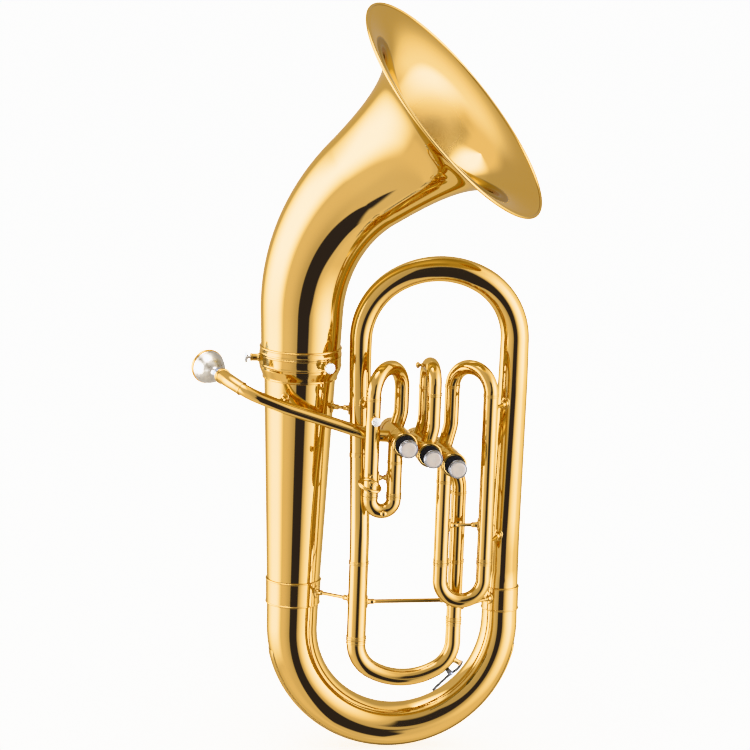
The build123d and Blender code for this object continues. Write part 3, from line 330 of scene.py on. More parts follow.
def tube(form, path, outside, bore, segments=None, start_trim=None, end_trim=None):
    """Hollow tube along a path.

    outside and bore are numbers or functions of the length from 0 to 1. A trim is the number of
    the valve whose casing that end meets.
    """
    distances = lengths(path)
    shares = [t / distances[-1] for t in distances]
    outer_at = outside if callable(outside) else tapering(outside, outside)
    bore_at = bore if callable(bore) else tapering(bore, bore)
    segments = segments or sides_for(outer_at(0.5))
    axes = frames(path)
    outer, inner = [], []
    for (point, _), (u, v), share in zip(path, axes, shares):
        outer.append(circle(point, u, v, outer_at(share), segments))
        inner.append(circle(point, u, v, bore_at(share), segments))
    for trim, row, direction in ((start_trim, 0, path[0][1] * -1), (end_trim, -1, path[-1][1])):
        if trim is not None:
            outer[row] = [trimmed(p, direction, trim) for p in outer[row]]
            inner[row] = [trimmed(p, direction, trim) for p in inner[row]]
    form.skin(outer + inner[::-1], loop=True)
    return form


def tapering(start, end, wall=0.0):
    """Radius that changes evenly along a tube, less a wall."""
    return lambda share: start + (end - start) * share - wall


def trimmed(point, direction, number):
    """Carry a point along a direction that leads to a valve until it meets that valve's casing."""
    reach = CASING_RADIUS - 0.4
    dx, dz = point.x - valve_x(number), point.z - valve_z(number)
    a = direction.x**2 + direction.z**2
    b = dx * direction.x + dz * direction.z
    c = dx * dx + dz * dz - reach * reach
    root = b * b - a * c
    travel = (-b - sqrt(root)) / a if root > 0 else -b / a
    return point + direction * travel


def rod(form, path, outside, segments):
    """Solid rod along a path."""
    rings = [[path[0][0]]]
    for (point, _), (u, v) in zip(path, frames(path)):
        rings.append(circle(point, u, v, outside, segments))
    rings.append([path[-1][0]])
    return form.skin(rings)


def softened(rows, size=0.35, closed=False, steps=3):
    """Profile rows with each sharp corner rounded."""
    count = len(rows)
    result = []
    for index, (r, z) in enumerate(rows):
        if not closed and index in (0, count - 1):
            result.append((r, z))
            continue
        here = Vector((r, z))
        before = Vector(rows[index - 1])
        after = Vector(rows[(index + 1) % count])
        come, go = here - before, after - here
        if come.length < 1e-6 or go.length < 1e-6 or r < 1e-6:
            result.append((r, z))
            continue
        cut = min(size, come.length * 0.45, go.length * 0.45)
        start = here - come.normalized() * cut
        end = here + go.normalized() * cut
        for k in range(steps + 1):
            t = k / steps
            p = start * (1 - t) ** 2 + here * 2 * t * (1 - t) + end * t * t
            result.append((p.x, p.y))
    return result


def smooth_rows(rows, parts=6):
    """Catmull-Rom curve through profile rows."""
    rows = [Vector(r) for r in rows]
    padded = [rows[0] * 2 - rows[1], *rows, rows[-1] * 2 - rows[-2]]
    result = []
    for a, b, c, d in zip(padded, padded[1:], padded[2:], padded[3:]):
        for k in range(parts):
            t = k / parts
            p = 0.5 * (
                2 * b + (c - a) * t + (
                    2 * a - 5 * b + 4 * c - d
                ) * t * t + (3 * b - a - 3 * c + d) * t**3
            )
            result.append((max(0.0, p.x), p.y))
    result.append(tuple(rows[-1]))
    return result


def turned(form, rows, origin, axis, segments=None, soft=0.3, closed=True):
    """Solid turned about an axis from (radius, height) rows. A closed profile makes a ring."""
    origin, axis = Vector(origin), Vector(axis).normalized()
    solid = rows[0][0] < 1e-6 and rows[-1][0] < 1e-6
    if soft:
        rows = softened(rows, soft, closed=not solid)
    segments = segments or max(48, sides_for(max(r for r, _ in rows)))
    (u, v), = frames([(origin, axis)])
    rings = []
    for r, z in rows:
        centre = origin + axis * z
        rings.append([centre] if r < 1e-6 else circle(centre, u, v, r, segments))
    return form.skin(rings, loop=not solid)


def band(form, origin, axis, bore, outside, width, soft=0.35):
    return turned(
        form, ((bore, 0), (outside, 0), (outside, width), (bore, width)), origin, axis, soft=soft,
    )


# ---- materials ----------------------------------------------------------------------------
class Paint:
    """A node material under construction."""

    def __init__(self, name, **sockets):
        self.material = bpy.data.materials.new(name)
        self.material.use_nodes = True
        self.tree = self.material.node_tree
        self.shader = self.tree.nodes["Principled BSDF"]
        for socket, value in sockets.items():
            self.shader.inputs[socket.replace("_", " ")].default_value = value
        coords = self.tree.nodes.new("ShaderNodeTexCoord")
        self.place = coords.outputs["Object"]

    def link(self, source, target):
        self.tree.links.new(source, target)

    def stretched(self, scale):
        mapping = self.tree.nodes.new("ShaderNodeMapping")
        mapping.inputs["Scale"].default_value = scale
        self.link(self.place, mapping.inputs["Vector"])
        return mapping.outputs["Vector"]

    def noise(self, scale, detail=3.0, roughness=0.5, stretch=None, distortion=0.0):
        noise = self.tree.nodes.new("ShaderNodeTexNoise")
        noise.inputs["Scale"].default_value = scale
        noise.inputs["Detail"].default_value = detail
        noise.inputs["Roughness"].default_value = roughness
        noise.inputs["Distortion"].default_value = distortion
        self.link(self.stretched(stretch) if stretch else self.place, noise.inputs["Vector"])
        return noise.outputs["Fac"]

    def cells(self, scale, feature="F1"):
        cells = self.tree.nodes.new("ShaderNodeTexVoronoi")
        cells.feature = feature
        cells.inputs["Scale"].default_value = scale
        self.link(self.place, cells.inputs["Vector"])
        return cells.outputs["Distance"]

    def span(self, value, low, high, start=0.3, end=0.7):
        span = self.tree.nodes.new("ShaderNodeMapRange")
        span.inputs["From Min"].default_value = start
        span.inputs["From Max"].default_value = end
        span.inputs["To Min"].default_value = low
        span.inputs["To Max"].default_value = high
        self.link(value, span.inputs["Value"])
        return span.outputs["Result"]

    def worn(self, gloss, centre, inner, outer):
        """Dull the gloss around a point, from the inner radius out to the outer one."""
        reach = self.tree.nodes.new("ShaderNodeVectorMath")
        reach.operation = "DISTANCE"
        reach.inputs[1].default_value = centre
        self.link(self.place, reach.inputs[0])
        share = self.span(reach.outputs["Value"], 0.5, 0.0, inner, outer)
        most = self.tree.nodes.new("ShaderNodeMath")
        most.operation = "MAXIMUM"
        self.link(gloss, most.inputs[0])
        self.link(share, most.inputs[1])
        return most.outputs[0]

    def ramp(self, value, stops):
        ramp = self.tree.nodes.new("ShaderNodeValToRGB")
        while len(ramp.color_ramp.elements) < len(stops):
            ramp.color_ramp.elements.new(0.5)
        for element, (position, colour) in zip(ramp.color_ramp.elements, stops):
            element.position = position
            element.color = (*colour, 1)
        self.link(value, ramp.inputs["Fac"])
        return ramp.outputs["Color"]

    def bump(self, heights):
        """Stack bump layers given as (height, strength, distance in metres)."""
        normal = None
        for height, strength, distance in heights:
            bump = self.tree.nodes.new("ShaderNodeBump")
            bump.inputs["Strength"].default_value = strength
            bump.inputs["Distance"].default_value = distance
            self.link(height, bump.inputs["Height"])
            if normal:
                self.link(normal, bump.inputs["Normal"])
            normal = bump.outputs["Normal"]
        self.link(normal, self.shader.inputs["Normal"])

    def colour(self, output):
        self.link(output, self.shader.inputs["Base Color"])

    def gloss(self, output):
        self.link(output, self.shader.inputs["Roughness"])


def brass(name, light, deep, rough, polish_stretch, worn=None):
    """Lacquered brass: slow changes of tone, faint handling haze, and fine polishing lines."""
    paint = Paint(name, Metallic=1.0, Coat_Weight=0.12, Coat_Roughness=0.02, Coat_IOR=1.5)
    paint.shader.inputs["Specular Tint"].default_value = (0.93, 0.77, 0.50, 1)
    tone = paint.noise(7.0, 2.0)
    paint.colour(paint.ramp(tone, ((0.3, deep), (0.7, light))))
    haze = paint.noise(38.0, 4.0, 0.6, distortion=0.6)
    gloss = paint.span(haze, rough, rough * 1.9, 0.35, 0.75)
    if worn:
        centre, inner, outer = worn
        gloss = paint.worn(gloss, centre, inner, outer)
    paint.gloss(gloss)
    lines = paint.noise(900.0, 2.0, 0.5, stretch=polish_stretch)
    hammer = paint.noise(24.0, 1.0)
    paint.bump(((hammer, 0.05, 0.0006), (lines, 0.03, 0.00002)))
    return paint.material


BRASS = brass(
    "lacquered_brass_body", (0.82, 0.505, 0.16), (0.80, 0.48, 0.145), 0.032, (1.0, 1.0, 0.06),
)
BRASS_TUBE = brass(
    "lacquered_brass_tubing", (0.82, 0.50, 0.157), (0.795, 0.475, 0.14), 0.04, (1.0, 1.0, 0.05),
)
BRASS_FITTING = brass(
    "lacquered_brass_fittings", (0.81, 0.49, 0.153), (0.78, 0.455, 0.13), 0.055, (0.2, 1.0, 1.0),
)
BRASS_BELL = brass(
    "lacquered_brass_bell", (0.83, 0.52, 0.17), (0.81, 0.49, 0.15), 0.03, (0.5, 1.0, 0.5),
    ((0.024, 0.012, 0.720), 0.018, 0.046),
)


def silver(name, colour, dull, rough):
    """Silver plate with a breath of warm tarnish in soft patches."""
    paint = Paint(name, Metallic=1.0, Coat_Weight=0.15, Coat_Roughness=0.04)
    patches = paint.noise(130.0, 4.0, 0.6, distortion=0.8)
    paint.colour(paint.ramp(patches, ((0.35, dull), (0.65, colour))))
    paint.gloss(paint.span(paint.noise(260.0, 3.0), rough, rough * 2.2))
    paint.bump(((paint.noise(2200.0, 2.0, stretch=(1.0, 0.1, 1.0)), 0.04, 0.00002),))
    return paint.material


# The silver plate's base colour is held well below clean silver: painted shade, so the stems and
# mouthpiece read grey under the bright panels. Its warm cast offsets the panels' cool tint.
SILVER = silver("silver_plate", (0.66, 0.585, 0.48), (0.56, 0.49, 0.40), 0.22)
SATIN = silver("satin_silver", (0.84, 0.78, 0.68), (0.76, 0.70, 0.60), 0.42)
DULL = silver("dull_nickel", (0.40, 0.36, 0.31), (0.27, 0.24, 0.21), 0.30)
# Darker, rougher copy of the dull nickel for the water key: painted shade, so the key reads grey
# instead of taking the bright panel's light.
SHADED_NICKEL = silver("shaded_dull_nickel", (0.26, 0.235, 0.20), (0.17, 0.15, 0.13), 0.42)
NICKEL = silver("nickel_piston", (0.72, 0.71, 0.68), (0.66, 0.64, 0.60), 0.16)
STEEL = silver("spring_steel", (0.62, 0.62, 0.64), (0.52, 0.51, 0.52), 0.2)


def pearl():
    """Pale mother-of-pearl with soft drifting bands."""
    paint = Paint("pearl_inlay", Roughness=0.22, Coat_Weight=0.8, Coat_Roughness=0.03)
    drift = paint.noise(210.0, 4.0, 0.55, stretch=(1.0, 1.0, 0.45), distortion=1.6)
    paint.colour(
        paint.ramp(
            drift,
            (
                (0.25, (0.30, 0.25, 0.22)), (0.45, (0.36, 0.31, 0.27)), (0.58, (0.33, 0.30, 0.27)),
                (0.75, (0.41, 0.35, 0.30)),
            ),
        )
    )
    paint.bump(((drift, 0.06, 0.0001),))
    return paint.material


def felt():
    """Dense dark wool felt."""
    paint = Paint("wool_felt", Roughness=0.95, Sheen_Weight=0.15, Sheen_Roughness=0.6)
    fibre = paint.noise(1900.0, 5.0, 0.7, distortion=1.2)
    paint.colour(paint.ramp(fibre, ((0.3, (0.002, 0.0015, 0.0012)), (0.75, (0.009, 0.006, 0.004)))))
    paint.bump(((fibre, 0.6, 0.0003),))
    return paint.material


def cork():
    """Pressed cork with dark grains."""
    paint = Paint("pressed_cork", Roughness=0.85)
    grains = paint.cells(1500.0)
    paint.colour(
        paint.ramp(
            grains,
            ((0.1, (0.20, 0.11, 0.05)), (0.4, (0.55, 0.36, 0.19)), (0.8, (0.66, 0.46, 0.27))),
        )
    )
    paint.bump(((grains, 0.5, 0.0002),))
    return paint.material


PEARL = pearl()
FELT = felt()
CORK = cork()


def placed(name, form, paint):
    """Put a form into the scene as an object of one material."""
    mesh = bpy.data.meshes.new(name)
    mesh.from_pydata([(x * MM, y * MM, z * MM) for x, y, z in form.points], [], form.faces)
    mesh.materials.append(paint)
    obj = bpy.data.objects.new(name, mesh)
    bpy.context.scene.collection.objects.link(obj)
    return obj


def piece(name, form, body, node, paint, crease=40.0):
    """Make a smooth-shaded piece from a form, which rides a body and stands for a CAD node."""
    obj = placed(name, form, paint)
    obj.data.update()
    obj.data.shade_smooth()
    obj.data.set_sharp_from_angle(angle=radians(crease))
    facing_out(obj.data)
    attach(obj, body)
    if node:
        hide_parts(node)
    return obj


def facing_out(mesh):
    """Turn every closed surface's faces outward."""
    work = bmesh.new()
    work.from_mesh(mesh)
    bmesh.ops.recalc_face_normals(work, faces=work.faces)
    work.to_mesh(mesh)
    work.free()


# ---- bottom bow and branches --------------------------------------------------------------
bow_path = [
    (Vector((-HALF_WIDTH, 0, LEFT_JOINT_Z)), -UP),
    *arc(Vector((0, 0, BOW_CENTRE_Z)), HALF_WIDTH, 180, 180, EAST, UP, 1.5),
    (Vector((HALF_WIDTH, 0, RIGHT_JOINT_Z)), UP),
]
bow_length = lengths(bow_path)[-1]


def bow_radius_at(length):
    return BOW_START_RADIUS - (BOW_START_RADIUS - BOW_END_RADIUS) * length / bow_length


def brass_tube(name, path, start, end, node):
    """Piece of thin sheet that widens or narrows evenly from its start to its end."""
    form = tube(Form(), path, tapering(start, end), tapering(start, end, SHEET))
    piece(name, form, "horn", node, BRASS)


piece(
    "bottom_bow_shell",
    tube(
        Form(), bow_path, lambda s: bow_radius_at(s * bow_length),
        lambda s: bow_radius_at(s * bow_length) - SHEET,
    ),
    "horn", "bottom_bow", BRASS,
)

guard_outer, guard_inner = [], []
for index in range(GUARD_ROWS + 1):
    angle = radians(180 + GUARD_DROP + (180 - 2 * GUARD_DROP) * index / GUARD_ROWS)
    centre = Vector((HALF_WIDTH * cos(angle), 0, BOW_CENTRE_Z + HALF_WIDTH * sin(angle)))
    out = Vector((cos(angle), 0, sin(angle)))
    travelled = LEFT_JOINT_Z - BOW_CENTRE_Z + HALF_WIDTH * (angle - pi)
    radius = bow_radius_at(travelled)
    reach = asin(GUARD_HALF_WIDTH / (radius + GUARD / 2))
    taper = min(1.0, 0.35 + min(index, GUARD_ROWS - index) / 3)
    outer_row, inner_row = [], []
    for k in range(GUARD_COLUMNS + 1):
        phi = reach * (2 * (k / GUARD_COLUMNS) - 1)
        edge = min(1.0, 0.3 + min(k, GUARD_COLUMNS - k) / 2.2)
        ray = out * cos(phi) + NORTH * sin(phi)
        outer_row.append(centre + ray * (radius + 0.05 + (GUARD - 0.05) * edge * taper))
        inner_row.append(centre + ray * (radius + 0.04))
    guard_outer.append(outer_row)
    guard_inner.append(inner_row)
piece("bow_guard_strip", Form().sheet(guard_outer, guard_inner), "horn", "bow_guard", BRASS, 60.0)

BRANCH_TAPER = (BRANCH_TOP_RADIUS - BOW_START_RADIUS) / (BRANCH_TOP_Z - LEFT_JOINT_Z)
branch_path = refined(
    [(Vector((-HALF_WIDTH, 0, LEFT_JOINT_Z)), UP), (Vector((-HALF_WIDTH, 0, BRANCH_TOP_Z)), UP)],
    20,
)
brass_tube("outer_branch_tube", branch_path, BOW_START_RADIUS, BRANCH_TOP_RADIUS, "outer_branch")


def ferrule(form, x, bottom, top, bottom_radius, top_radius):
    """Sleeve with a rounded bead at each end."""
    skin = 0.9
    bead = 1.5
    height = top - bottom
    rows = [(bottom_radius, 0.0), (bottom_radius + bead * 0.7, 0.0)]
    for k in range(7):
        angle = radians(-70 + 140 * k / 6)
        rows.append((bottom_radius + bead - 0.9 + 0.9 * cos(angle), 1.1 + 1.0 * sin(angle)))
    rows.append((bottom_radius + skin, 3.0))
    rows.append((top_radius + skin, height - 3.0))
    for k in range(7):
        angle = radians(-70 + 140 * k / 6)
        rows.append((top_radius + bead - 0.9 + 0.9 * cos(angle), height - 1.1 + 1.0 * sin(angle)))
    rows += [(top_radius + bead * 0.7, height), (top_radius, height)]
    return turned(form, rows, (x, 0, bottom), UP, segments=144, soft=0)


ferrules = Form()
ferrule(
    ferrules, -HALF_WIDTH, *LEFT_FERRULE, BOW_START_RADIUS + 0.05,
    BOW_START_RADIUS + BRANCH_TAPER * (LEFT_FERRULE[1] - LEFT_JOINT_Z) + 0.05,
)
ferrule(
    ferrules, HALF_WIDTH, *RIGHT_FERRULE, bow_radius_at(bow_length - 14.5) + 0.05,
    BOW_END_RADIUS + 0.05,
)
piece("bow_ferrule_pair", ferrules, "horn", "bow_ferrules", BRASS_FITTING, 30.0)

# ---- bell receiver, screws and bell -------------------------------------------------------
COLLAR = Vector((-HALF_WIDTH, 0, 0))


def collar_out(angle):
    return Vector((cos(radians(angle)), -sin(radians(angle)), 0))


receiver = Form()
turned(
    receiver,
    (
        (BRANCH_TOP_RADIUS - 0.4, FUNNEL_Z), (BRANCH_TOP_RADIUS + 1.6, FUNNEL_Z),
        (BRANCH_TOP_RADIUS + 1.9, FUNNEL_Z + 1.2), (BRANCH_TOP_RADIUS + 1.5, FUNNEL_Z + 2.2),
        (BRANCH_TOP_RADIUS + 2.6, FUNNEL_Z + 5), (COLLAR_RADIUS - 0.6, FUNNEL_Z + 12),
        (COLLAR_RADIUS - 0.5, COLLAR_LINE_Z - 1.6), (COLLAR_RADIUS, COLLAR_LINE_Z - 1.0),
        (COLLAR_RADIUS, COLLAR_LINE_Z + 0.6), (COLLAR_RADIUS - 0.35, COLLAR_LINE_Z + 1.2),
        (COLLAR_RADIUS - 0.35, BELL_JOINT_Z - 1.8), (COLLAR_RADIUS, BELL_JOINT_Z - 1.2),
        (COLLAR_RADIUS, BELL_JOINT_Z), (COLLAR_BORE, BELL_JOINT_Z), (COLLAR_BORE, BRANCH_TOP_Z),
        (BRANCH_TOP_RADIUS, BRANCH_TOP_Z),
    ),
    COLLAR, UP, segments=160, soft=0.25,
)
for angle in SCREW_ANGLES:
    outward = collar_out(angle)
    seat = COLLAR + UP * SCREW_Z + outward * (COLLAR_RADIUS - 1.5)
    turned(
        receiver,
        (
            (1.7, 0), (4.9, 0.6), (4.9, 2.2), (4.2, 3.2), (4.2, 9.0), (4.45, 9.5), (4.45, 10.8),
            (3.9, 11.5), (1.7, 11.5),
        ),
        seat, outward, soft=0.3,
    )
piece("bell_receiver_collar", receiver, "horn", "bell_receiver", BRASS_FITTING, 30.0)


def thumb_head(form, origin, axis, foot, rim, grooves=18):
    """Milled head of a thumb screw: a turned disc with a scalloped edge."""
    (u, v), = frames([(origin, axis)])
    segments = grooves * 6
    levels = (
        (rim * 0.45, 0.0, 0.0), (rim * 0.9, 0.0, 0.0), (rim, 0.35, 1.0), (rim, 2.3, 1.0),
        (rim * 0.92, 2.9, 0.2), (rim * 0.6, 3.25, 0.0), (rim * 0.25, 3.4, 0.0),
    )
    rings = [[origin + axis * foot]]
    for radius, height, depth in levels:
        ring = []
        for k in range(segments):
            angle = 2 * pi * k / segments
            reach = radius - 0.28 * depth * (0.5 + 0.5 * cos(grooves * angle))
            ring.append(origin + axis * (foot + height) + (u * cos(angle) + v * sin(angle)) * reach)
        rings.append(ring)
    rings.append([origin + axis * (foot + 3.45)])
    return form.skin(rings)


for number, angle in enumerate(SCREW_ANGLES, start=1):
    outward = collar_out(angle)
    origin = COLLAR + UP * SCREW_Z
    screw = Form()
    turned(
        screw,
        (
            (0, COLLAR_BORE + 0.15), (1.1, COLLAR_BORE + 0.2), (1.45, COLLAR_BORE + 0.6),
            (1.45, 58.4), (2.6, 58.9), (2.6, SCREW_FACE + 0.2), (0, SCREW_FACE + 0.2),
        ),
        origin, outward, segments=40, soft=0.15,
    )
    thumb_head(screw, origin, outward, SCREW_FACE, 6.2)
    piece(
        f"bell_clamp_screw_{number}", screw, f"bell_screw_{'abc'[number - 1]}",
        f"bell_screw_{number}", SATIN, 35.0,
    )

heading = Vector((cos(radians(BELL_HEADING)), -sin(radians(BELL_HEADING)), 0))
bend = radians(BELL_TURN)
bell_bend_end = (
    COLLAR + heading * BELL_BEND_RADIUS * (1 - cos(bend)) + UP * (
        BELL_BEND_Z + BELL_BEND_RADIUS * sin(bend)
    )
)
bell_axis = heading * sin(bend) + UP * cos(bend)
rim_centre = bell_bend_end + bell_axis * BELL_STRAIGHT
BELL_RISE = BELL_BEND_Z - TENON_TOP_Z
BELL_LENGTH = BELL_RISE + BELL_BEND_RADIUS * bend + BELL_STRAIGHT


def bell_radius(distance):
    """Outside radius of the bell at a distance back from the rim."""
    return BELL_RADIUS * (1 + distance / BELL_THROAT) ** -BELL_FLARE


def bell_wall(distance):
    slope = BELL_FLARE * bell_radius(distance) / (BELL_THROAT + distance)
    return SHEET * sqrt(1 + slope * slope)


def bell_place(distance):
    """Point and direction of the bell's axis at a distance back from the rim."""
    if distance <= BELL_STRAIGHT:
        return rim_centre - bell_axis * distance, bell_axis
    distance -= BELL_STRAIGHT
    if distance <= BELL_BEND_RADIUS * bend:
        angle = bend - distance / BELL_BEND_RADIUS
        point = COLLAR + heading * BELL_BEND_RADIUS * (1 - cos(angle))
        return point + UP * (
            BELL_BEND_Z + BELL_BEND_RADIUS * sin(angle)
        ), heading * sin(angle) + UP * cos(angle)
    distance -= BELL_BEND_RADIUS * bend
    return COLLAR + UP * (BELL_BEND_Z - distance), UP.copy()


BELL_ROWS = 200
bell_outer, bell_inner = [], []
across_bell = heading.cross(UP)
for index in range(BELL_ROWS + 1):
    distance = FLARE_END + (BELL_LENGTH - FLARE_END) * (index / BELL_ROWS) ** 2.2
    point, direction = bell_place(distance)
    upward = direction.cross(across_bell)
    radius = bell_radius(distance)
    bell_outer.append(circle(point, across_bell, upward, radius, 192))
    bell_inner.append(circle(point, across_bell, upward, radius - bell_wall(distance), 192))
piece(
    "bell_sheet", Form().skin(bell_outer + bell_inner[::-1], loop=True), "bell", "bell_flare",
    BRASS_BELL, 60.0,
)

rim_rows = []
for k in range(20):
    angle = 2 * pi * k / 20
    rim_rows.append(
        (BELL_RADIUS - RIM_WIRE + RIM_WIRE * cos(angle), -FLARE_END + RIM_WIRE * sin(angle))
    )
piece(
    "bell_rim_bead", turned(Form(), rim_rows, rim_centre, bell_axis, segments=256, soft=0), "bell",
    "bell_rim_wire", BRASS_BELL,
)
piece(
    "bell_tenon_ring",
    turned(
        Form(),
        (
            (COLLAR_BORE - 1.2, TENON_FOOT_Z), (COLLAR_BORE - FIT, TENON_FOOT_Z),
            (COLLAR_BORE - FIT, BELL_JOINT_Z + SEAM), (COLLAR_RADIUS, BELL_JOINT_Z + SEAM),
            (COLLAR_RADIUS, BELL_JOINT_Z + 2.2), (COLLAR_RADIUS - 0.4, BELL_JOINT_Z + 2.8),
            (COLLAR_RADIUS - 0.4, TENON_TOP_Z - 2.2), (COLLAR_RADIUS, TENON_TOP_Z - 1.6),
            (COLLAR_RADIUS - 0.1, TENON_TOP_Z - 0.5), (COLLAR_RADIUS - 0.9, TENON_TOP_Z),
            (COLLAR_BORE - 1.2, TENON_TOP_Z),
        ),
        COLLAR, UP, segments=160, soft=0.25,
    ),
    "bell", "bell_tenon", BRASS_FITTING, 30.0,
)

# ---- top bow, right branch and the leg to the tuning slide ---------------------------------
top_left = Vector((MAIN_LEFT_X, TOP_LEFT_Y, TOP_BOW_Z))
top_right = Vector((TOP_RIGHT_X, TOP_RIGHT_Y, TOP_BOW_Z))
top_middle = (top_left + top_right) * 0.5
top_across = (top_right - top_left).normalized()


def three_arcs(middle, across, half, shoulder, top=True):
    """Flattened half loop made of two shoulder arcs and one large arc."""
    large = shoulder + 2 * (half - shoulder)
    drop = (large - shoulder) * sin(radians(60))
    vertical = UP if top else -UP
    path = arc(middle + across * (shoulder - half), shoulder, 180, -60, across, vertical)
    path += arc(middle - vertical * drop, large, 120, -60, across, vertical)
    path += arc(middle + across * (half - shoulder), shoulder, 60, -60, across, vertical)
    return tidy(path)


top_path = three_arcs(top_middle, top_across, (top_right - top_left).length / 2, TOP_SHOULDER)
brass_tube("top_bow_tube", top_path, TOP_LEFT_RADIUS, TOP_RIGHT_RADIUS, "top_bow")

right_path = filleted(
    (
        (TOP_RIGHT_X, TOP_RIGHT_Y, TOP_BOW_Z), (TOP_RIGHT_X, TOP_RIGHT_Y, 440), (118, -14, 256),
        (HALF_WIDTH, 0, 204), (HALF_WIDTH, 0, RIGHT_JOINT_Z),
    ),
    [300, 240, 80], 0.5,
)
brass_tube(
    "right_branch_tube", refined(right_path, 20), TOP_RIGHT_RADIUS, BOW_END_RADIUS, "right_branch",
)

feed_top = Vector((MAIN_LEFT_X, TOP_LEFT_Y, FEED_TOP_Z))
feed_foot = Vector((MAIN_LEFT_X, SLIDE_PLANE, FEED_FOOT_Z))
feed_lean = (feed_top - feed_foot).normalized()
feed_joint = feed_foot + feed_lean * ((FEED_JOINT_Z - feed_foot.z) / feed_lean.z)
leg_path = filleted((feed_joint, feed_top, top_left), LEG_BEND_RADIUS, 0.5)
brass_tube("upper_leg_tube", refined(leg_path, 20), FEED_JOINT_RADIUS, TOP_LEFT_RADIUS, "upper_leg")
feed_start = (MAIN_LEFT_X, SLIDE_PLANE, RECEIVER_TOP_Z)
feed_path = filleted((feed_start, feed_foot, feed_joint), LEG_BEND_RADIUS, 0.5)
feed = tube(
    Form(), refined(feed_path, 20), tapering(MAIN_LEFT_RADIUS, FEED_JOINT_RADIUS),
    tapering(MAIN_LEFT_RADIUS, FEED_JOINT_RADIUS, SHEET),
)
band(
    feed, feed_joint - feed_lean * 5, feed_lean, FEED_JOINT_RADIUS - 0.2, FEED_JOINT_RADIUS + 0.6,
    5,
)
piece("feed_leg_tube", feed, "horn", "feed_tube", BRASS)

# ---- main tuning slide --------------------------------------------------------------------
MAIN_LEGS = (
    (MAIN_LEFT_X, MAIN_LEFT_RADIUS, MAIN_LEFT_BORE, MAIN_LEFT_Z),
    (MAIN_RIGHT_X, MAIN_RIGHT_RADIUS, MAIN_RIGHT_BORE, MAIN_RIGHT_Z),
)


def straight(x, y, low, high):
    return [(Vector((x, y, low)), UP), (Vector((x, y, high)), UP)]


def slide_ring(form, x, y, z, inside, outside, width):
    """Bead round the mouth of a slide tube."""
    return turned(
        form,
        (
            (inside, 0), (outside - 0.25, 0), (outside, 0.5), (outside, width * 0.3),
            (outside - 0.3, width * 0.42), (outside - 0.3, width * 0.58), (outside, width * 0.7),
            (outside, width - 0.5), (outside - 0.25, width), (inside, width),
        ),
        (x, y, z), UP, segments=72, soft=0.15,
    )


receivers = Form()
for x, outside, bore, mouth in MAIN_LEGS:
    tube(receivers, straight(x, SLIDE_PLANE, mouth + SEAM, RECEIVER_TOP_Z), outside, bore)
    for ring_z in (mouth + SEAM, RECEIVER_TOP_Z - 4):
        slide_ring(receivers, x, SLIDE_PLANE, ring_z, outside - 0.2, outside + 0.7, 4)
piece("main_slide_receiver_tubes", receivers, "horn", "main_slide_receivers", BRASS_TUBE)

main_half = (MAIN_RIGHT_X - MAIN_LEFT_X) / 2
main_middle = Vector(((MAIN_LEFT_X + MAIN_RIGHT_X) / 2, SLIDE_PLANE, MAIN_SPRING_Z))
main_path = tidy(
    [(Vector((MAIN_LEFT_X, SLIDE_PLANE, MAIN_LEFT_Z)), -UP)]
    + three_arcs(main_middle, EAST, main_half, MAIN_SHOULDER, top=False)
    + [(Vector((MAIN_RIGHT_X, SLIDE_PLANE, MAIN_RIGHT_Z)), UP)]
)
KEY_ANGLE = -30.0
HINGE_ANGLE = -47.0
KEY_TUBE = 9.0


def key_out(angle):
    return EAST * cos(radians(angle)) + UP * sin(radians(angle))


def key_point(angle, height):
    reach = MAIN_SHOULDER + KEY_TUBE + height
    return Vector(
        (MAIN_RIGHT_X - MAIN_SHOULDER, SLIDE_PLANE, MAIN_SPRING_Z)
    ) + key_out(angle) * reach


main_bow = tube(
    Form(), main_path, tapering(MAIN_LEFT_RADIUS, MAIN_RIGHT_RADIUS),
    tapering(MAIN_LEFT_RADIUS, MAIN_RIGHT_RADIUS, 1.25),
)
for x, outside, bore, mouth in MAIN_LEGS:
    tube(
        main_bow, straight(x, SLIDE_PLANE, mouth - 1, RECEIVER_TOP_Z - 6), bore - FIT,
        bore - FIT - 0.6,
    )
    slide_ring(main_bow, x, SLIDE_PLANE, mouth - 5, outside - 0.3, outside + 0.5, 5)
turned(
    main_bow,
    ((1.5, -1.2), (4.4, -1.2), (4.0, 0.3), (3.0, 1.2), (3.0, 5.6), (2.6, 6.0), (1.5, 6.0)),
    key_point(KEY_ANGLE, 0), key_out(KEY_ANGLE), soft=0.3,
)
piece("main_slide_crook", main_bow, "main_slide", "main_slide_bow", BRASS_TUBE)

# ---- water key ----------------------------------------------------------------------------
hinge = key_point(HINGE_ANGLE, 5.4)
hinge_out = key_out(HINGE_ANGLE)
hinge_along = NORTH.cross(hinge_out)
saddle = Form()
for side in (-1, 1):
    cheek = []
    for half in (-0.6, 0.6):
        ring = []
        for k in range(25):
            angle = pi * k / 24
            offset = hinge_along * (2.5 * cos(angle)) + hinge_out * (2.5 * sin(angle))
            ring.append(hinge + NORTH * (side * 5.6 + half) + offset)
        for along, drop in ((-2.3, -3.0), (-2.6, -5.4), (2.6, -5.4), (2.3, -3.0)):
            ring.append(
                hinge + NORTH * (side * 5.6 + half) + hinge_along * along + hinge_out * drop
            )
        cheek.append(ring)
    middle = [sum(ring, Vector()) / len(ring) for ring in cheek]
    saddle.skin([[middle[0]], *cheek, [middle[1]]])
piece("water_key_saddle_cheeks", saddle, "main_slide", "water_key_saddle", SHADED_NICKEL, 35.0)
piece(
    "water_key_hinge_screw",
    turned(
        Form(),
        (
            (0, -7.4), (0.55, -7.4), (0.76, -7.1), (0.76, 6.3), (1.75, 6.35), (1.75, 7.1),
            (1.2, 7.5), (0.5, 7.55), (0, 7.55),
        ),
        hinge, FRONT, segments=36, soft=0.12,
    ),
    "main_slide", "water_key_pin", STEEL,
)
spring = Form()
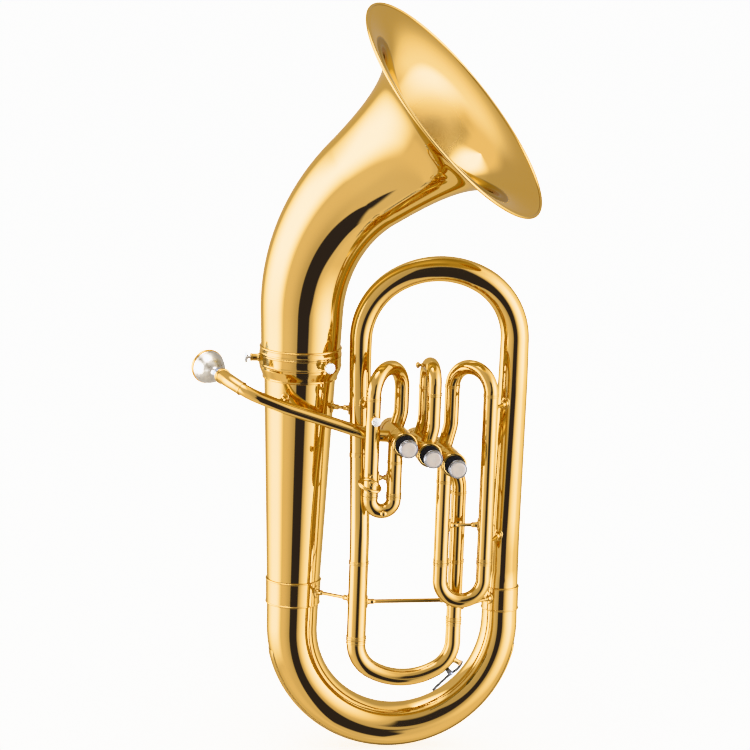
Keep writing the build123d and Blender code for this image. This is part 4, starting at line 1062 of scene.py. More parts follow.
for side in (-1, 1):
    coil = []
    for k in range(100):
        angle = 2 * pi * 2.46 * k / 99
        offset = EAST * (2.5 * cos(angle)) + UP * (2.5 * sin(angle))
        ahead = UP * (2.5 * cos(angle)) - EAST * (2.5 * sin(angle))
        point = hinge + offset + NORTH * side * (2.9 + 1.6 * k / 99)
        coil.append((point, (ahead + NORTH * side * 0.1).normalized()))
    rod(spring, coil, 0.25, 10)
piece("water_key_spring_coils", spring, "main_slide", "water_key_spring", STEEL)

lever = Form()
turned(
    lever, ((0.85, -2.5), (3.2, -2.5), (3.2, 2.5), (0.85, 2.5)), hinge, NORTH, segments=48,
    soft=0.3,
)
turned(
    lever, ((0, 0), (3.6, 0), (4.05, 0.35), (4.0, 0.9), (3.2, 1.3), (1.4, 1.7), (0, 1.8)),
    key_point(KEY_ANGLE, 8.35), key_out(KEY_ANGLE), soft=0.15,
)


def blade(form, stations):
    """Flat bar with rounded edges.

    A station is a point, the directions of the width and of the thickness, and half of each.
    """
    rings = []
    for point, wide, deep, half, depth in stations:
        ring = []
        for k in range(28):
            angle = 2 * pi * k / 28
            c, s = cos(angle), sin(angle)
            x = half * (abs(c) ** 0.55) * (1 if c > 0 else -1)
            y = depth * (abs(s) ** 0.7) * (1 if s > 0 else -1)
            ring.append(point + wide * x + deep * y)
        rings.append(ring)
    return form.skin([[stations[0][0]], *rings, [stations[-1][0]]])


ARM = (
    (-27, 9.6, 1.9), (-36, 9.6, 1.6), (-47, 7.4, 1.9), (-54, 7.6, 1.7), (-61, 9.0, 1.7),
    (-68, 11.2, 2.1), (-75, 14.5, 2.4),
)
arm_points = []
for (a0, h0, w0), (a1, h1, w1) in zip(ARM, ARM[1:]):
    for k in range(8):
        t = k / 8
        s = t * t * (3 - 2 * t)
        arm_points.append(
            (a0 + (a1 - a0) * t, h0 + (h1 - h0) * (0.5 * t + 0.5 * s), w0 + (w1 - w0) * s)
        )
arm_points.append(ARM[-1])
stations = []
for (angle, height, width) in arm_points:
    depth = 1.35 if len(stations) > 2 and len(stations) < len(arm_points) - 3 else 0.9
    stations.append((key_point(angle, height), NORTH, key_out(angle), width, depth))
blade(lever, stations)
piece("water_key_touch_lever", lever, "water_key", "water_key_lever", SHADED_NICKEL, 40.0)
piece(
    "water_key_cork_pad",
    turned(
        Form(), ((0, 6.12), (2.9, 6.12), (3.35, 6.5), (3.35, 8.1), (3.1, 8.3), (0, 8.3)),
        key_point(KEY_ANGLE, 0), key_out(KEY_ANGLE), segments=40, soft=0.15,
    ),
    "water_key", "water_key_cork", CORK,
)

# ---- valves -------------------------------------------------------------------------------
for number in range(3):
    x, z = valve_x(number), valve_z(number)
    tag = number + 1
    casing = Form()
    turned(
        casing,
        (
            (CASING_BORE, 0), (CASING_RADIUS, 0), (CASING_RADIUS, CASING_BACK_Y - CASING_FRONT_Y),
            (CASING_BORE, CASING_BACK_Y - CASING_FRONT_Y),
        ),
        (x, CASING_BACK_Y, z), FRONT, segments=96,
    )
    for line_y in (-27.0, -68.0, -86.2):
        turned(
            casing,
            (
                (CASING_RADIUS - 0.2, 0), (CASING_RADIUS + 0.4, 0.25), (CASING_RADIUS + 0.4, 0.95),
                (CASING_RADIUS - 0.2, 1.2),
            ),
            (x, line_y, z), FRONT, segments=96, soft=0.15,
        )
    piece(f"valve_casing_tube_{tag}", casing, "horn", f"valve_casing_{tag}", BRASS_TUBE)

    piston = Form()
    turned(
        piston,
        (
            (SPRING_RADIUS + 1.4, 0), (CASING_BORE - FIT, 0),
            (CASING_BORE - FIT, PISTON_BACK_Y - PISTON_FRONT_Y),
            (9.5, PISTON_BACK_Y - PISTON_FRONT_Y), (9.5, PISTON_BACK_Y - STEM_BASE_Y),
        ),
        (x, PISTON_BACK_Y, z), FRONT, segments=96, soft=0.2,
    )
    piece(f"valve_piston_{tag}", piston, f"valve_{tag}", f"piston_{tag}", NICKEL)

    stem = turned(
        Form(),
        (
            (0, 0), (7.6, 0), (8.0, 0.4), (8.0, 1.6), (7.2, 2.1), (STEM_RADIUS + 0.6, 2.8),
            (STEM_RADIUS, 3.6), (STEM_RADIUS, STEM_BASE_Y - BUTTON_BACK_Y),
            (0, STEM_BASE_Y - BUTTON_BACK_Y),
        ),
        (x, STEM_BASE_Y, z), FRONT, segments=48, soft=0.2,
    )
    piece(f"valve_stem_rod_{tag}", stem, f"valve_{tag}", f"valve_stem_{tag}", SILVER)

    depth = BUTTON_BACK_Y - BUTTON_FRONT_Y
    button = turned(
        Form(),
        (
            (0, -1.2), (4.0, -1.2), (BUTTON_RADIUS - 0.9, -1.1), (BUTTON_RADIUS + 0.5, -0.5),
            (BUTTON_RADIUS + 0.6, 0.3), (BUTTON_RADIUS + 0.1, 0.9),
            (BUTTON_RADIUS - 0.1, depth - 1.6), (BUTTON_RADIUS - 0.1, depth - 0.5),
            (BUTTON_RADIUS - 0.5, depth), (INLAY_RADIUS + 0.1, depth - 0.15),
            (INLAY_RADIUS, depth - 0.4), (INLAY_RADIUS, depth - BUTTON_SEAT),
            (0, depth - BUTTON_SEAT),
        ),
        (x, BUTTON_BACK_Y, z), FRONT, segments=96, soft=0.25,
    )
    piece(f"finger_button_cup_{tag}", button, f"valve_{tag}", f"finger_button_{tag}", DULL, 35.0)
    dome = smooth_rows(
        (
            (INLAY_RADIUS - 0.5, 0.72), (INLAY_RADIUS - 1.6, 0.98), (5.0, 1.02), (2.5, 0.9),
            (0, 0.84),
        ),
        4,
    )
    piece(
        f"button_pearl_{tag}",
        turned(
            Form(),
            [
                (0, 0.01), (INLAY_RADIUS - 0.03, 0.01), (INLAY_RADIUS - 0.03, 0.5), *dome[:-1],
                (0, 0.84),
            ],
            (x, BUTTON_FRONT_Y + BUTTON_SEAT, z), FRONT, segments=72, soft=0,
        ),
        f"valve_{tag}", f"button_inlay_{tag}", PEARL, 50.0,
    )
    coil = []
    for k in range(8 * 24 + 1):
        angle = 2 * pi * k / 24
        out = EAST * cos(angle) + UP * sin(angle)
        ahead = (UP * cos(angle) - EAST * sin(angle)) * SPRING_RADIUS + FRONT * (3.4 / (2 * pi))
        point = Vector((x, SPRING_SEAT_Y - 0.9 - 3.4 * k / 24, z)) + out * SPRING_RADIUS
        coil.append((point, ahead.normalized()))
    piece(
        f"valve_spring_coil_{tag}", rod(Form(), coil, 0.5, 10), "horn", f"valve_spring_{tag}",
        STEEL,
    )

front_caps, felts, rear_caps = Form(), Form(), Form()
CAP_DEPTH = CAP_BACK_Y - CAP_FRONT_Y


def milled(form, origin, axis, radius, low, high, teeth, depth):
    """Band of fine straight knurling."""
    (u, v), = frames([(origin, axis)])
    segments = teeth * 4
    rings = []
    for height, share, inside in (
        (low, 0, 1), (low, 0, 0), (low + 0.35, 1, 0), (high - 0.35, 1, 0), (high, 0, 0),
        (high, 0, 1),
    ):
        ring = []
        for k in range(segments):
            angle = 2 * pi * k / segments
            reach = radius - 0.5 if inside else radius - depth * (
                0.5 - 0.5 * cos(teeth * angle)
            ) * share - 0.12 * (1 - share)
            ring.append(origin + axis * height + (u * cos(angle) + v * sin(angle)) * reach)
        rings.append(ring)
    return form.skin(rings, loop=True)


for number in range(3):
    x, z = valve_x(number), valve_z(number)
    origin = Vector((x, CAP_BACK_Y, z))
    turned(
        front_caps,
        (
            (CASING_RADIUS + 0.02, 0), (CAP_RADIUS - 0.5, 0), (CAP_RADIUS - 0.1, 0.5),
            (CAP_RADIUS - 0.1, 1.6), (CAP_RADIUS - 0.5, 2.1), (CAP_RADIUS - 0.5, CAP_DEPTH - 4.4),
            (CAP_RADIUS, CAP_DEPTH - 3.9), (CAP_RADIUS, CAP_DEPTH - 0.9),
            (CAP_RADIUS - 0.5, CAP_DEPTH - 0.2), (12.6, CAP_DEPTH), (11.6, CAP_DEPTH - 0.35),
            (11.1, CAP_DEPTH - 0.8), (11.1, CAP_BACK_Y - CAP_PLATE_Y),
            (STEM_RADIUS + FIT, CAP_BACK_Y - CAP_PLATE_Y),
            (STEM_RADIUS + FIT, CAP_BACK_Y - CASING_FRONT_Y + 0.02),
            (CASING_RADIUS + 0.02, CAP_BACK_Y - CASING_FRONT_Y + 0.02),
        ),
        origin, FRONT, segments=96, soft=0.25,
    )
    milled(front_caps, origin, FRONT, CAP_RADIUS - 0.05, 2.2, CAP_DEPTH - 4.6, 60, 0.3)
    turned(
        felts,
        ((3.3, 0.02), (11.0, 0.02), (11.05, 0.4), (10.8, 1.1), (10.2, 1.3), (4.2, 1.3), (3.4, 1.0)),
        (x, CAP_PLATE_Y, z), FRONT, segments=72, soft=0.3,
    )
    turned(
        rear_caps,
        (
            (2, 0), (7.0, 0), (7.3, 0.35), (7.8, 0.35), (8.1, 0), (CASING_RADIUS - 1.3, 0),
            (CASING_RADIUS, 1.2), (CASING_RADIUS, REAR_CAP_Y - CASING_BACK_Y - 0.02),
            (CASING_BORE, REAR_CAP_Y - CASING_BACK_Y - 0.02),
            (CASING_BORE, REAR_CAP_Y - SPRING_SEAT_Y), (2, REAR_CAP_Y - SPRING_SEAT_Y),
        ),
        (x, REAR_CAP_Y, z), FRONT, segments=96, soft=0.2,
    )
piece("front_valve_caps", front_caps, "horn", "front_caps", BRASS_FITTING, 35.0)
piece("valve_cap_felts", felts, "horn", "cap_felts", FELT)
piece("rear_valve_caps", rear_caps, "horn", "rear_caps", BRASS_FITTING, 35.0)

ROW = Vector((VALVE_PITCH_X, 0, VALVE_PITCH_Z)).normalized()
knuckles = Form()
for number in range(2):
    centre = Vector((valve_x(number), LEVEL_MIDDLE, valve_z(number)))
    pitch = sqrt(VALVE_PITCH_X**2 + VALVE_PITCH_Z**2)
    path = [(centre + ROW * (pitch / 2 - 0.4), ROW), (centre + ROW * (pitch / 2 + 0.4), ROW)]
    outer = circle(path[0][0], *frames(path)[0], TUBE, 72)
    inner = circle(path[0][0], *frames(path)[0], PORT_BORE, 72)
    rings = [
        [trimmed(p, ROW * -1, number) for p in outer], [trimmed(p, ROW, number + 1) for p in outer],
        [trimmed(p, ROW, number + 1) for p in inner], [trimmed(p, ROW * -1, number) for p in inner],
    ]
    knuckles.skin(rings, loop=True)
piece("valve_knuckle_tubes", knuckles, "horn", "valve_knuckles", BRASS_TUBE)


# ---- valve slides -------------------------------------------------------------------------
def valve_ring(form, x, y, z):
    return slide_ring(form, x, y, z, TUBE - 0.1, TUBE + RING_PROUD, RING_WIDTH)


def slide_crook(points, corner, reach):
    """Return bend of a slide with its two inner legs."""
    form = tube(Form(), filleted(points, corner), TUBE, INNER_BORE)
    for x, y, z in (points[0], points[-1]):
        low, high = sorted((z, z + reach))
        tube(form, straight(x, y, low, high), INNER, INNER_BORE)
        ring_z = z - RING_WIDTH if reach > 0 else z
        slide_ring(form, x, y, ring_z, INNER + 0.2, TUBE + RING_PROUD, RING_WIDTH)
    return form


KNOB = (
    (0, TUBE - 1), (2.9, TUBE - 0.8), (2.4, TUBE + 0.4), (1.9, TUBE + 1.3), (1.8, 11.0),
    (2.6, 11.7), (3.5, 12.6), (3.7, 13.4), (3.5, 14.4), (2.6, 15.4), (1.4, 15.9), (0, 16.0),
)

first_path = filleted(
    (
        (VALVE_X, LEVEL_BACK, VALVE_Z), (FIRST_TOP_X, LEVEL_BACK, 402),
        (FIRST_TOP_X, LEVEL_BACK, CROOK_TOP_Z), (FIRST_LEFT_X, LEVEL_FRONT, CROOK_TOP_Z),
        (FIRST_LEFT_X, LEVEL_FRONT, FIRST_JOINT_Z + SEAM),
    ),
    [PORT_BEND_RADIUS, 28, 28],
)


def leaving(path, number):
    """Move a path's first point out to its valve's casing."""
    point, direction = path[0]
    rest = path[1:]
    while (rest[0][0] - point).dot(direction) < CASING_RADIUS + 0.5:
        rest = rest[1:]
    return [(point + direction * CASING_RADIUS, direction)] + rest


first_legs = tube(Form(), leaving(first_path, 0), TUBE, PORT_BORE, start_trim=0)
path = straight(FIRST_RIGHT_X, LEVEL_FRONT, FIRST_JOINT_Z + SEAM, VALVE_Z - 14)
tube(first_legs, path, TUBE, PORT_BORE, end_trim=0)
for x, z in (
    (FIRST_LEFT_X, 425), (FIRST_LEFT_X, FIRST_JOINT_Z + SEAM),
    (FIRST_RIGHT_X, FIRST_JOINT_Z + SEAM), (FIRST_RIGHT_X, 353),
):
    valve_ring(first_legs, x, LEVEL_FRONT, z)
piece("first_slide_outer_legs", first_legs, "horn", "first_slide_legs", BRASS_TUBE)

first_bow = slide_crook(
    (
        (FIRST_LEFT_X, LEVEL_FRONT, FIRST_JOINT_Z), (FIRST_LEFT_X, LEVEL_FRONT, FIRST_BEND_Z),
        (FIRST_RIGHT_X, LEVEL_FRONT, FIRST_BEND_Z), (FIRST_RIGHT_X, LEVEL_FRONT, FIRST_JOINT_Z),
    ),
    13.2, 36,
)
first_knob = ((FIRST_LEFT_X + FIRST_RIGHT_X) / 2, LEVEL_FRONT, FIRST_BEND_Z)
turned(first_bow, smooth_rows(KNOB, 4), first_knob, FRONT, segments=48, soft=0)
piece("first_slide_crook", first_bow, "first_slide", "first_slide_bow", BRASS_TUBE)

second_legs = Form()
for level in (LEVEL_FRONT, LEVEL_BACK):
    corners = (
        (valve_x(1), level, valve_z(1)), (SECOND_X, level, 394),
        (SECOND_X, level, SECOND_JOINT_Z - SEAM),
    )
    path = filleted(corners, PORT_BEND_RADIUS)
    tube(second_legs, leaving(path, 1), TUBE, PORT_BORE, start_trim=1)
piece("second_slide_outer_legs", second_legs, "horn", "second_slide_legs", BRASS_TUBE)
second_bow = slide_crook(
    (
        (SECOND_X, LEVEL_FRONT, SECOND_JOINT_Z), (SECOND_X, LEVEL_FRONT, CROOK_TOP_Z + 3),
        (SECOND_X, LEVEL_BACK, CROOK_TOP_Z + 3), (SECOND_X, LEVEL_BACK, SECOND_JOINT_Z),
    ),
    19.0, -28,
)
second_knob = (SECOND_X, LEVEL_MIDDLE + 8, CROOK_TOP_Z + 1.5)
turned(second_bow, smooth_rows(KNOB, 4), second_knob, -EAST, segments=48, soft=0)
piece("second_slide_crook", second_bow, "second_slide", "second_slide_bow", BRASS_TUBE)

third_path = filleted(
    (
        (valve_x(2), LEVEL_BACK, valve_z(2)), (THIRD_TOP_X, LEVEL_BACK, 388),
        (THIRD_TOP_X, LEVEL_BACK, CROOK_TOP_Z), (THIRD_RIGHT_X, LEVEL_FRONT, CROOK_TOP_Z),
        (THIRD_RIGHT_X, LEVEL_FRONT, THIRD_JOINT_Z + SEAM),
    ),
    [PORT_BEND_RADIUS, 26, 26],
)
third_legs = tube(Form(), leaving(third_path, 2), TUBE, PORT_BORE, start_trim=2)
path = straight(THIRD_LEFT_X, LEVEL_FRONT, THIRD_JOINT_Z + SEAM, valve_z(2) - 14)
tube(third_legs, path, TUBE, PORT_BORE, end_trim=2)
for x, y, z in (
    (THIRD_TOP_X, LEVEL_BACK, 430), (THIRD_RIGHT_X, LEVEL_FRONT, 428),
    (THIRD_LEFT_X, LEVEL_FRONT, 330), (THIRD_LEFT_X, LEVEL_FRONT, THIRD_JOINT_Z + SEAM),
    (THIRD_RIGHT_X, LEVEL_FRONT, THIRD_JOINT_Z + SEAM),
):
    valve_ring(third_legs, x, y, z)
piece("third_slide_outer_legs", third_legs, "horn", "third_slide_legs", BRASS_TUBE)
third_bow = slide_crook(
    (
        (THIRD_LEFT_X, LEVEL_FRONT, THIRD_JOINT_Z), (THIRD_LEFT_X, LEVEL_FRONT, THIRD_BEND_Z),
        (THIRD_RIGHT_X, LEVEL_FRONT, THIRD_BEND_Z), (THIRD_RIGHT_X, LEVEL_FRONT, THIRD_JOINT_Z),
    ),
    24.8, 70,
)
piece("third_slide_crook", third_bow, "third_slide", "third_slide_bow", BRASS_TUBE)

outlet_path = filleted(
    (
        (valve_x(2), LEVEL_MIDDLE, valve_z(2)), (MAIN_RIGHT_X, LEVEL_MIDDLE, 328),
        (MAIN_RIGHT_X, LEVEL_MIDDLE, RECEIVER_TOP_Z),
    ),
    36,
)
outlet = tube(Form(), leaving(outlet_path, 2), MAIN_RIGHT_RADIUS, MAIN_RIGHT_BORE, start_trim=2)
slide_ring(outlet, MAIN_RIGHT_X, LEVEL_MIDDLE, 312, MAIN_RIGHT_RADIUS - 0.1, 9.1, RING_WIDTH)
piece("valve_outlet_tube", outlet, "horn", "valve_outlet", BRASS_TUBE)

# ---- leadpipe and mouthpiece --------------------------------------------------------------
mouth = Vector(RECEIVER_MOUTH)
mouth_axis = (mouth - Vector(RECEIVER_CORNER)).normalized()
pipe_path = filleted(
    (PIPE_FERRULE, *PIPE_ROUTE, (VALVE_X, LEVEL_MIDDLE, VALVE_Z)), [36, 200, 90], 1.5,
)
entry = pipe_path[-1][1]
pipe_path[-1] = (pipe_path[-1][0] - entry * CASING_RADIUS, entry)
leadpipe = tube(Form(), pipe_path, PIPE_RADIUS, PIPE_BORE, end_trim=0)
piece("leadpipe_tube", leadpipe, "horn", "leadpipe", BRASS_TUBE)

socket = Form()
socket_path = filleted((RECEIVER_MOUTH, RECEIVER_CORNER, PIPE_FERRULE), 36, 2.0)
tube(socket, socket_path, lambda s: 8.3 - 0.7 * s, PIPE_BORE, 72)
pipe_start, pipe_direction = pipe_path[0]
band(socket, pipe_start, pipe_direction, PIPE_RADIUS + 0.05, PIPE_RADIUS + 1.0, 1.5)
turned(
    socket,
    (
        (8.0, 0), (8.9, 0.2), (9.1, 0.9), (9.1, 2.4), (8.8, 3.0), (8.8, 3.5), (9.0, 4.0),
        (8.6, 4.6), (8.0, 4.8),
    ),
    mouth - mouth_axis * 5.0, mouth_axis, segments=72, soft=0.2,
)
piece("mouthpiece_socket", socket, "horn", "mouthpiece_receiver", BRASS_FITTING)

outside = smooth_rows(
    (
        (PIPE_BORE - FIT, 0.01), (5.7, 5), (5.5, 9.5), (6.2, 14), (10.2, 18), (14.4, 23),
        (17.0, 29.5), (18.4, 35.5),
    ),
    6,
)
bowl = smooth_rows(
    ((13.2, 39.4), (12.6, 35), (11.4, 29.5), (9.2, 25), (6.4, 21), (4.0, 18), (3.2, 15)), 6,
)
lip = [(18.6, 36.0), (18.2, 36.5), (18.3, 37.0)]
for k in range(17):
    angle = radians(-32 + 200 * k / 16)
    lip.append((CUP_LIP_RADIUS + 3.2 * cos(angle), CUP_LIP_HEIGHT + 2.9 * sin(angle)))
mouthpiece_rows = [(4.4, -16), (6.0, -16), *outside, *lip, *bowl, (3.2, 8)]
piece(
    "mouthpiece_cup", turned(Form(), mouthpiece_rows, mouth, mouth_axis, segments=120, soft=0),
    "mouthpiece", "mouthpiece", SILVER, 50.0,
)
# Brass-coloured ring laid over the silver lip of the mouthpiece: a painted reflection of the gold
# seen at the rim.
rim_reflection_rows = []
for wide, high, angles in ((3.3, 3.0, range(-70, 161, 10)), (3.0, 2.7, range(160, -71, -10))):
    for angle in angles:
        radius = CUP_LIP_RADIUS + wide * cos(radians(angle))
        rim_reflection_rows.append((radius, CUP_LIP_HEIGHT + high * sin(radians(angle))))
piece(
    "mouthpiece_rim_reflection_ring", turned(Form(), rim_reflection_rows, mouth, mouth_axis, segments=120, soft=0),
    "mouthpiece", None, BRASS_FITTING, 50.0,
)


# ---- braces, finger ring and lyre post -----------------------------------------------------
def saddle_plate(form, centre, out, axis, radius, long=7.5, short=5.0, thick=1.0):
    """Oval plate that wraps a tube of this radius, with its longer side along the tube."""
    axis = (axis - out * axis.dot(out)).normalized()
    cross = axis.cross(out)
    rings = []
    for share, lift in (
        (0, 1.0), (0.35, 1.0), (0.65, 1.0), (0.86, 0.95), (0.96, 0.72), (1.0, 0.35), (1.0, -0.3),
        (0.5, -0.3), (0, -0.3),
    ):
        ring = []
        for k in range(48):
            angle = 2 * pi * k / 48
            p, q = long * share * cos(angle), short * share * sin(angle)
            bow = q / radius
            ring.append(
                centre + axis * p + (out * cos(bow) + cross * sin(bow)) * (radius + thick * lift)
            )
        rings.append([ring[0]] if share == 0 else ring)
    return form.skin(rings)


def brace(form, start, end, start_radius, end_radius, start_axis=UP, end_axis=UP, neck=2.05):
    """Strut between two tubes with an oval saddle plate and a waisted cup at each end."""
    start, end = Vector(start), Vector(end)
    out = (end - start).normalized()
    span = (end - start).length
    foot, head = start_radius, span - end_radius
    cup = min(7.0, (head - foot) / 3)
    half = [
        (0, 0.2), (3.9, 0.6), (3.9, 1.1), (3.5, 1.8), (3.1, cup * 0.55), (3.2, cup * 0.8),
        (3.3, cup), (neck + 0.5, cup + 0.7), (neck, cup + 1.6),
    ]
    rows = [(r, foot + z) for r, z in half] + [(r, head - z) for r, z in reversed(half)]
    turned(form, rows, start, out, segments=48, soft=0.35)
    saddle_plate(form, start, out, Vector(start_axis), start_radius)
    saddle_plate(form, end, out * -1, Vector(end_axis), end_radius)
    return form


def at_height(path, height):
    """Point and direction of a path at a height."""
    for (a, da), (b, db) in zip(path, path[1:]):
        low, high = sorted((a.z, b.z))
        if low <= height <= high and high > low:
            share = (height - a.z) / (b.z - a.z)
            return a.lerp(b, share), da.lerp(db, share).normalized()
    return path[0]


pipe_lean = (Vector(PIPE_ROUTE[1]) - Vector(PIPE_ROUTE[0])).normalized()
pipe_point = Vector(PIPE_ROUTE[0]) + pipe_lean * 29
piece(
    "leadpipe_strut",
    brace(Form(), pipe_point, (-HALF_WIDTH, 0, pipe_point.z), PIPE_RADIUS, 39.8, pipe_lean), "horn",
    "leadpipe_brace", BRASS_FITTING,
)
struts = Form()
point, direction = at_height(leg_path, UPPER_STRUT_Z)
brace(struts, (-HALF_WIDTH, 0, UPPER_STRUT_Z), point, 39.3, 12.2, end_axis=direction)
start, end = (-HALF_WIDTH, 0, LOWER_STRUT_Z), (MAIN_LEFT_X, SLIDE_PLANE, LOWER_STRUT_Z)
brace(struts, start, end, 31.5, MAIN_LEFT_RADIUS)
start, end = (MAIN_LEFT_X, SLIDE_PLANE, SLIDE_STRUT_Z), (MAIN_RIGHT_X, SLIDE_PLANE, SLIDE_STRUT_Z)
brace(struts, start, end, MAIN_LEFT_RADIUS, MAIN_RIGHT_RADIUS, neck=2.5)
start, end = (MAIN_RIGHT_X, SLIDE_PLANE, RIGHT_STRUT_Z), (HALF_WIDTH, 0, RIGHT_STRUT_Z)
brace(struts, start, end, MAIN_RIGHT_RADIUS, BOW_END_RADIUS + 1.5)
piece("branch_struts", struts, "horn", "branch_braces", BRASS_FITTING)

struts = Form()
point, direction = at_height(leg_path, FEED_STRUT_Z)
brace(struts, point, (FIRST_LEFT_X, LEVEL_FRONT, FEED_STRUT_Z), 12.3, TUBE, start_axis=direction)
for left, right, height in (
    (FIRST_LEFT_X, FIRST_RIGHT_X, FIRST_STRUT_Z), (THIRD_LEFT_X, THIRD_RIGHT_X, THIRD_STRUT_Z),
):
    brace(struts, (left, LEVEL_FRONT, height), (right, LEVEL_FRONT, height), TUBE, TUBE)
for height, radius in ((256, 19.2), (413, 17.3)):
    point, direction = at_height(right_path, height)
    brace(struts, (THIRD_RIGHT_X, LEVEL_FRONT, height), point, TUBE, radius, end_axis=direction)
piece("slide_struts", struts, "horn", "slide_braces", BRASS_FITTING)

ring_centre = Vector((FIRST_LEFT_X - 5.5, LEVEL_FRONT - TUBE - RING_RADIUS - 1.4, RING_LUG_Z - 2))
ring_axis = Vector((0.27, -0.32, 0.91)).normalized()
ring_rows = []
for k in range(24):
    angle = 2 * pi * k / 24
    ring_rows.append((RING_RADIUS + RING_WIRE * cos(angle), RING_WIRE * sin(angle)))
finger_ring = turned(Form(), ring_rows, ring_centre, ring_axis, segments=96, soft=0)
saddle_plate(
    finger_ring, Vector((FIRST_LEFT_X, LEVEL_FRONT, RING_LUG_Z)), FRONT, UP, TUBE, 7.0, 3.4, 0.9,
)
turned(
    finger_ring,
    smooth_rows(
        ((0, TUBE - 0.1), (3.1, TUBE + 0.5), (2.4, TUBE + 1.2), (2.3, TUBE + 2.2), (0, TUBE + 2.4)),
        4,
    ),
    (FIRST_LEFT_X, LEVEL_FRONT, RING_LUG_Z), FRONT, segments=36, soft=0,
)
piece("finger_hook_ring", finger_ring, "horn", "finger_ring", BRASS_FITTING, 50.0)

post = Form()
origin = Vector((FIRST_LEFT_X, LEVEL_FRONT, LYRE_Z))
slot, hub, hole = 2.0, 4.4, 1.65
foot, face = TUBE - 0.3, TUBE + 7
slot_low, slot_high = TUBE + 3.4 - slot, TUBE + 3.4 + slot
for rows in (
    ((0, foot), (hub, foot), (hub, slot_low), (0, slot_low)),
    ((hole, slot_high), (hub, slot_high), (hub, face - 0.5), (hub - 0.5, face), (hole, face)),
):
    turned(post, rows, origin, FRONT, segments=56, soft=0.3)
for side in (-1, 1):
    rings = []
    for depth in (slot_low - 0.4, slot_high + 0.4):
        ring = []
        limit = acos(slot / hub)
        for k in range(17):
            angle = -limit + 2 * limit * k / 16
            across, up = EAST * side * (hub - 0.02) * cos(angle), UP * (hub - 0.02) * sin(angle)
            ring.append(origin + FRONT * depth + across + up)
        rings.append(ring)
    middles = [sum(r, Vector()) / len(r) for r in rings]
    post.skin([[middles[0]], *rings, [middles[1]]])
piece("lyre_socket_post", post, "horn", "lyre_post", BRASS_FITTING, 35.0)

lyre_origin = Vector((FIRST_LEFT_X, LEVEL_FRONT - TUBE - 5.6, LYRE_Z))
screw = Form()
turned(
    screw, ((0, 0), (1.1, 0.02), (1.45, 0.4), (1.45, 4.2), (2.3, 4.4), (2.3, 4.8), (0, 4.8)),
    lyre_origin, FRONT, segments=40, soft=0.12,
)
thumb_head(screw, lyre_origin, FRONT, 4.1, 5.25, 16)
piece("lyre_thumb_screw", screw, "lyre_screw", "lyre_screw", SATIN, 35.0)

# ---- stage, light and camera --------------------------------------------------------------
def floor():
    """Wide pale disc under the object."""
    form = Form()
    centre = Vector((0, 0, 0))
    rings = [[centre]]
    for radius in (200, 500, 1000, 2000, 4000, 9000, 20000):
        rings.append(circle(centre, EAST, NORTH, radius, 96))
    form.skin(rings)
    paper = Paint("pale_floor_paper", Roughness=0.9, Specular_IOR_Level=0.1, Emission_Strength=1.6)
    paper.shader.inputs["Base Color"].default_value = (0.9, 0.9, 0.89, 1)
    paper.shader.inputs["Emission Color"].default_value = (1, 1, 1, 1)
    obj = placed("pale_floor", form, paper.material)
    obj.visible_glossy = False
    obj.visible_diffuse = False


floor()

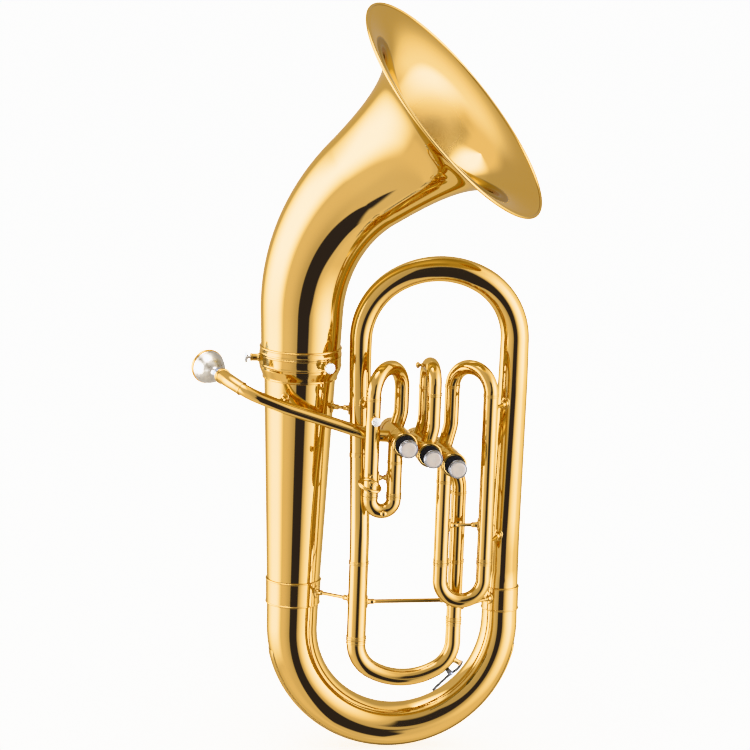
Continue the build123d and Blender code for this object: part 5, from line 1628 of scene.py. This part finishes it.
def studio():
    """Soft surround: bright panels to both sides, a dark gap on the camera's side, a dim table.

    Directions are an azimuth from the camera's side and an elevation, both in degrees.
    """
    world = bpy.data.worlds.new("studio")
    bpy.context.scene.world = world
    world.use_nodes = True
    tree = world.node_tree
    tree.nodes.clear()

    def math(kind, *values):
        node = tree.nodes.new("ShaderNodeMath")
        node.operation = kind
        for socket, value in zip(node.inputs, values):
            if isinstance(value, (int, float)):
                socket.default_value = value
            else:
                tree.links.new(value, socket)
        return node.outputs[0]

    def step(value, low, high):
        node = tree.nodes.new("ShaderNodeMapRange")
        node.interpolation_type = "SMOOTHSTEP"
        for name, bound in (("From Min", low), ("From Max", high)):
            if isinstance(bound, (int, float)):
                node.inputs[name].default_value = bound
            else:
                tree.links.new(bound, node.inputs[name])
        tree.links.new(value, node.inputs["Value"])
        return node.outputs["Result"]

    def fade(value, low, high):
        return math("SUBTRACT", 1.0, step(value, low, high))

    def band(value, start, full, fading, end):
        return math("MULTIPLY", step(value, start, full), fade(value, fading, end))

    def mix(low, high, share):
        first = math("MULTIPLY", low, math("SUBTRACT", 1.0, share))
        second = math("MULTIPLY", high, share)
        return math("ADD", first, second)

    def total(base, *panels):
        level = base
        for strength, *shares in panels:
            panel = strength
            for share in shares:
                panel = math("MULTIPLY", share, panel)
            level = math("ADD", level, panel)
        return level

    coords = tree.nodes.new("ShaderNodeTexCoord")
    turn = tree.nodes.new("ShaderNodeVectorRotate")
    turn.rotation_type = "Z_AXIS"
    turn.inputs["Angle"].default_value = -radians(CAMERA_AZIMUTH)
    tree.links.new(coords.outputs["Generated"], turn.inputs["Vector"])
    parts = tree.nodes.new("ShaderNodeSeparateXYZ")
    tree.links.new(turn.outputs["Vector"], parts.inputs["Vector"])
    azimuth = math(
        "DIVIDE", math("ARCTAN2", parts.outputs["X"], math("MULTIPLY", parts.outputs["Y"], -1.0)),
        pi / 180,
    )
    elevation = math("DIVIDE", math("ARCSINE", parts.outputs["Z"]), pi / 180)

    walls = total(
        0.64, (0.30, band(azimuth, 22, 36, 110, 150)), (0.10, band(azimuth, -179, -160, -30, -5)),
        (0.22, band(azimuth, -75, -55, -42, -8), fade(elevation, -12, 6)),
    )
    table = total(
        0.86, (0.13, band(azimuth, 35, 60, 110, 150)), (0.13, band(azimuth, -110, -85, -60, -30)),
    )
    level = mix(table, walls, step(elevation, -44.0, -26.0))
    level = mix(level, 1.12, step(elevation, 50.0, 72.0))
    glow = total(
        0.0, (9.0, band(azimuth, -140, -92, -76, -50), band(elevation, -40, 2, 13, 27)),
        (6.5, band(azimuth, 30, 75, 78, 98), band(elevation, -45, 4, 8, 48)),
        (1.1, band(azimuth, 45, 90, 95, 145), band(elevation, -35, -10, 40, 70)),
        (9.0, band(azimuth, -179, -120, -60, -10), step(elevation, 50, 72)),
    )

    left_edge = total(-9.0, (13.0, step(elevation, -12, 8)), (-4.0, fade(elevation, -60, -40)))
    right_edge = total(
        22.5, (5.0, step(elevation, -10, -4)), (5.5, fade(elevation, -24, -15)),
        (6.0, fade(elevation, -50, -30)),
    )
    gap = step(azimuth, math("SUBTRACT", left_edge, 1.0), math("ADD", left_edge, 1.0))
    gap = math(
        "MULTIPLY", gap,
        fade(azimuth, math("SUBTRACT", right_edge, 1.5), math("ADD", right_edge, 2.0)),
    )
    gap = math("MULTIPLY", gap, band(elevation, -68, -62, 23, 32))

    path = tree.nodes.new("ShaderNodeLightPath")
    colour = tree.nodes.new("ShaderNodeCombineColor")
    again = math("GREATER_THAN", path.outputs["Glossy Depth"], 1.5)
    for socket, cool, dark, dull in zip(
        colour.inputs, (1.0, 1.18, 1.55), (0.066, 0.088, 0.23), (0.72, 0.96, 1.6),
    ):
        seen = mix(total(level, (cool, glow)), dark, gap)
        seen = mix(seen, math("MULTIPLY", total(level, (0.25 * cool, glow)), dull), again)
        seen = mix(2.0, seen, path.outputs["Is Glossy Ray"])
        tree.links.new(mix(seen, 4.0, path.outputs["Is Camera Ray"]), socket)
    background = tree.nodes.new("ShaderNodeBackground")
    output = tree.nodes.new("ShaderNodeOutputWorld")
    tree.links.new(colour.outputs["Color"], background.inputs["Color"])
    tree.links.new(background.outputs["Background"], output.inputs["Surface"])


studio()
scene = bpy.context.scene
scene.view_settings.view_transform = "Khronos PBR Neutral"
scene.view_settings.look = "None"

lamp = bpy.data.lights.new("key_panel", "AREA")
lamp.shape = "DISK"
lamp.size = 1.2
lamp.energy = 18.0
lamp_object = bpy.data.objects.new("key_panel", lamp)
lamp_object.location = (-1.2, -0.9, 2.2)
lamp_object.rotation_euler = (
    Vector((0, 0, 0.3)) - lamp_object.location
).to_track_quat("-Z", "Y").to_euler()
lamp_object.visible_glossy = False
scene.collection.objects.link(lamp_object)

camera = bpy.data.cameras.new("camera")
camera.lens = 190.5
camera.sensor_width = 36.0
camera.clip_end = 100.0
camera.shift_x = -0.038
camera.shift_y = 0.065
camera_object = bpy.data.objects.new("camera", camera)
back = Vector((-0.2026, -0.9531, 0.2250)).normalized()
right = Vector((0.9792, -0.1993, 0.0374))
right = (right - back * right.dot(back)).normalized()
upward = back.cross(right)
aim = Vector((0, 0, 0.38))
turn = Matrix((right, upward, back)).transposed().to_4x4()
camera_object.matrix_world = Matrix.Translation(aim + back * 4.5) @ turn
scene.collection.objects.link(camera_object)
scene.camera = camera_object
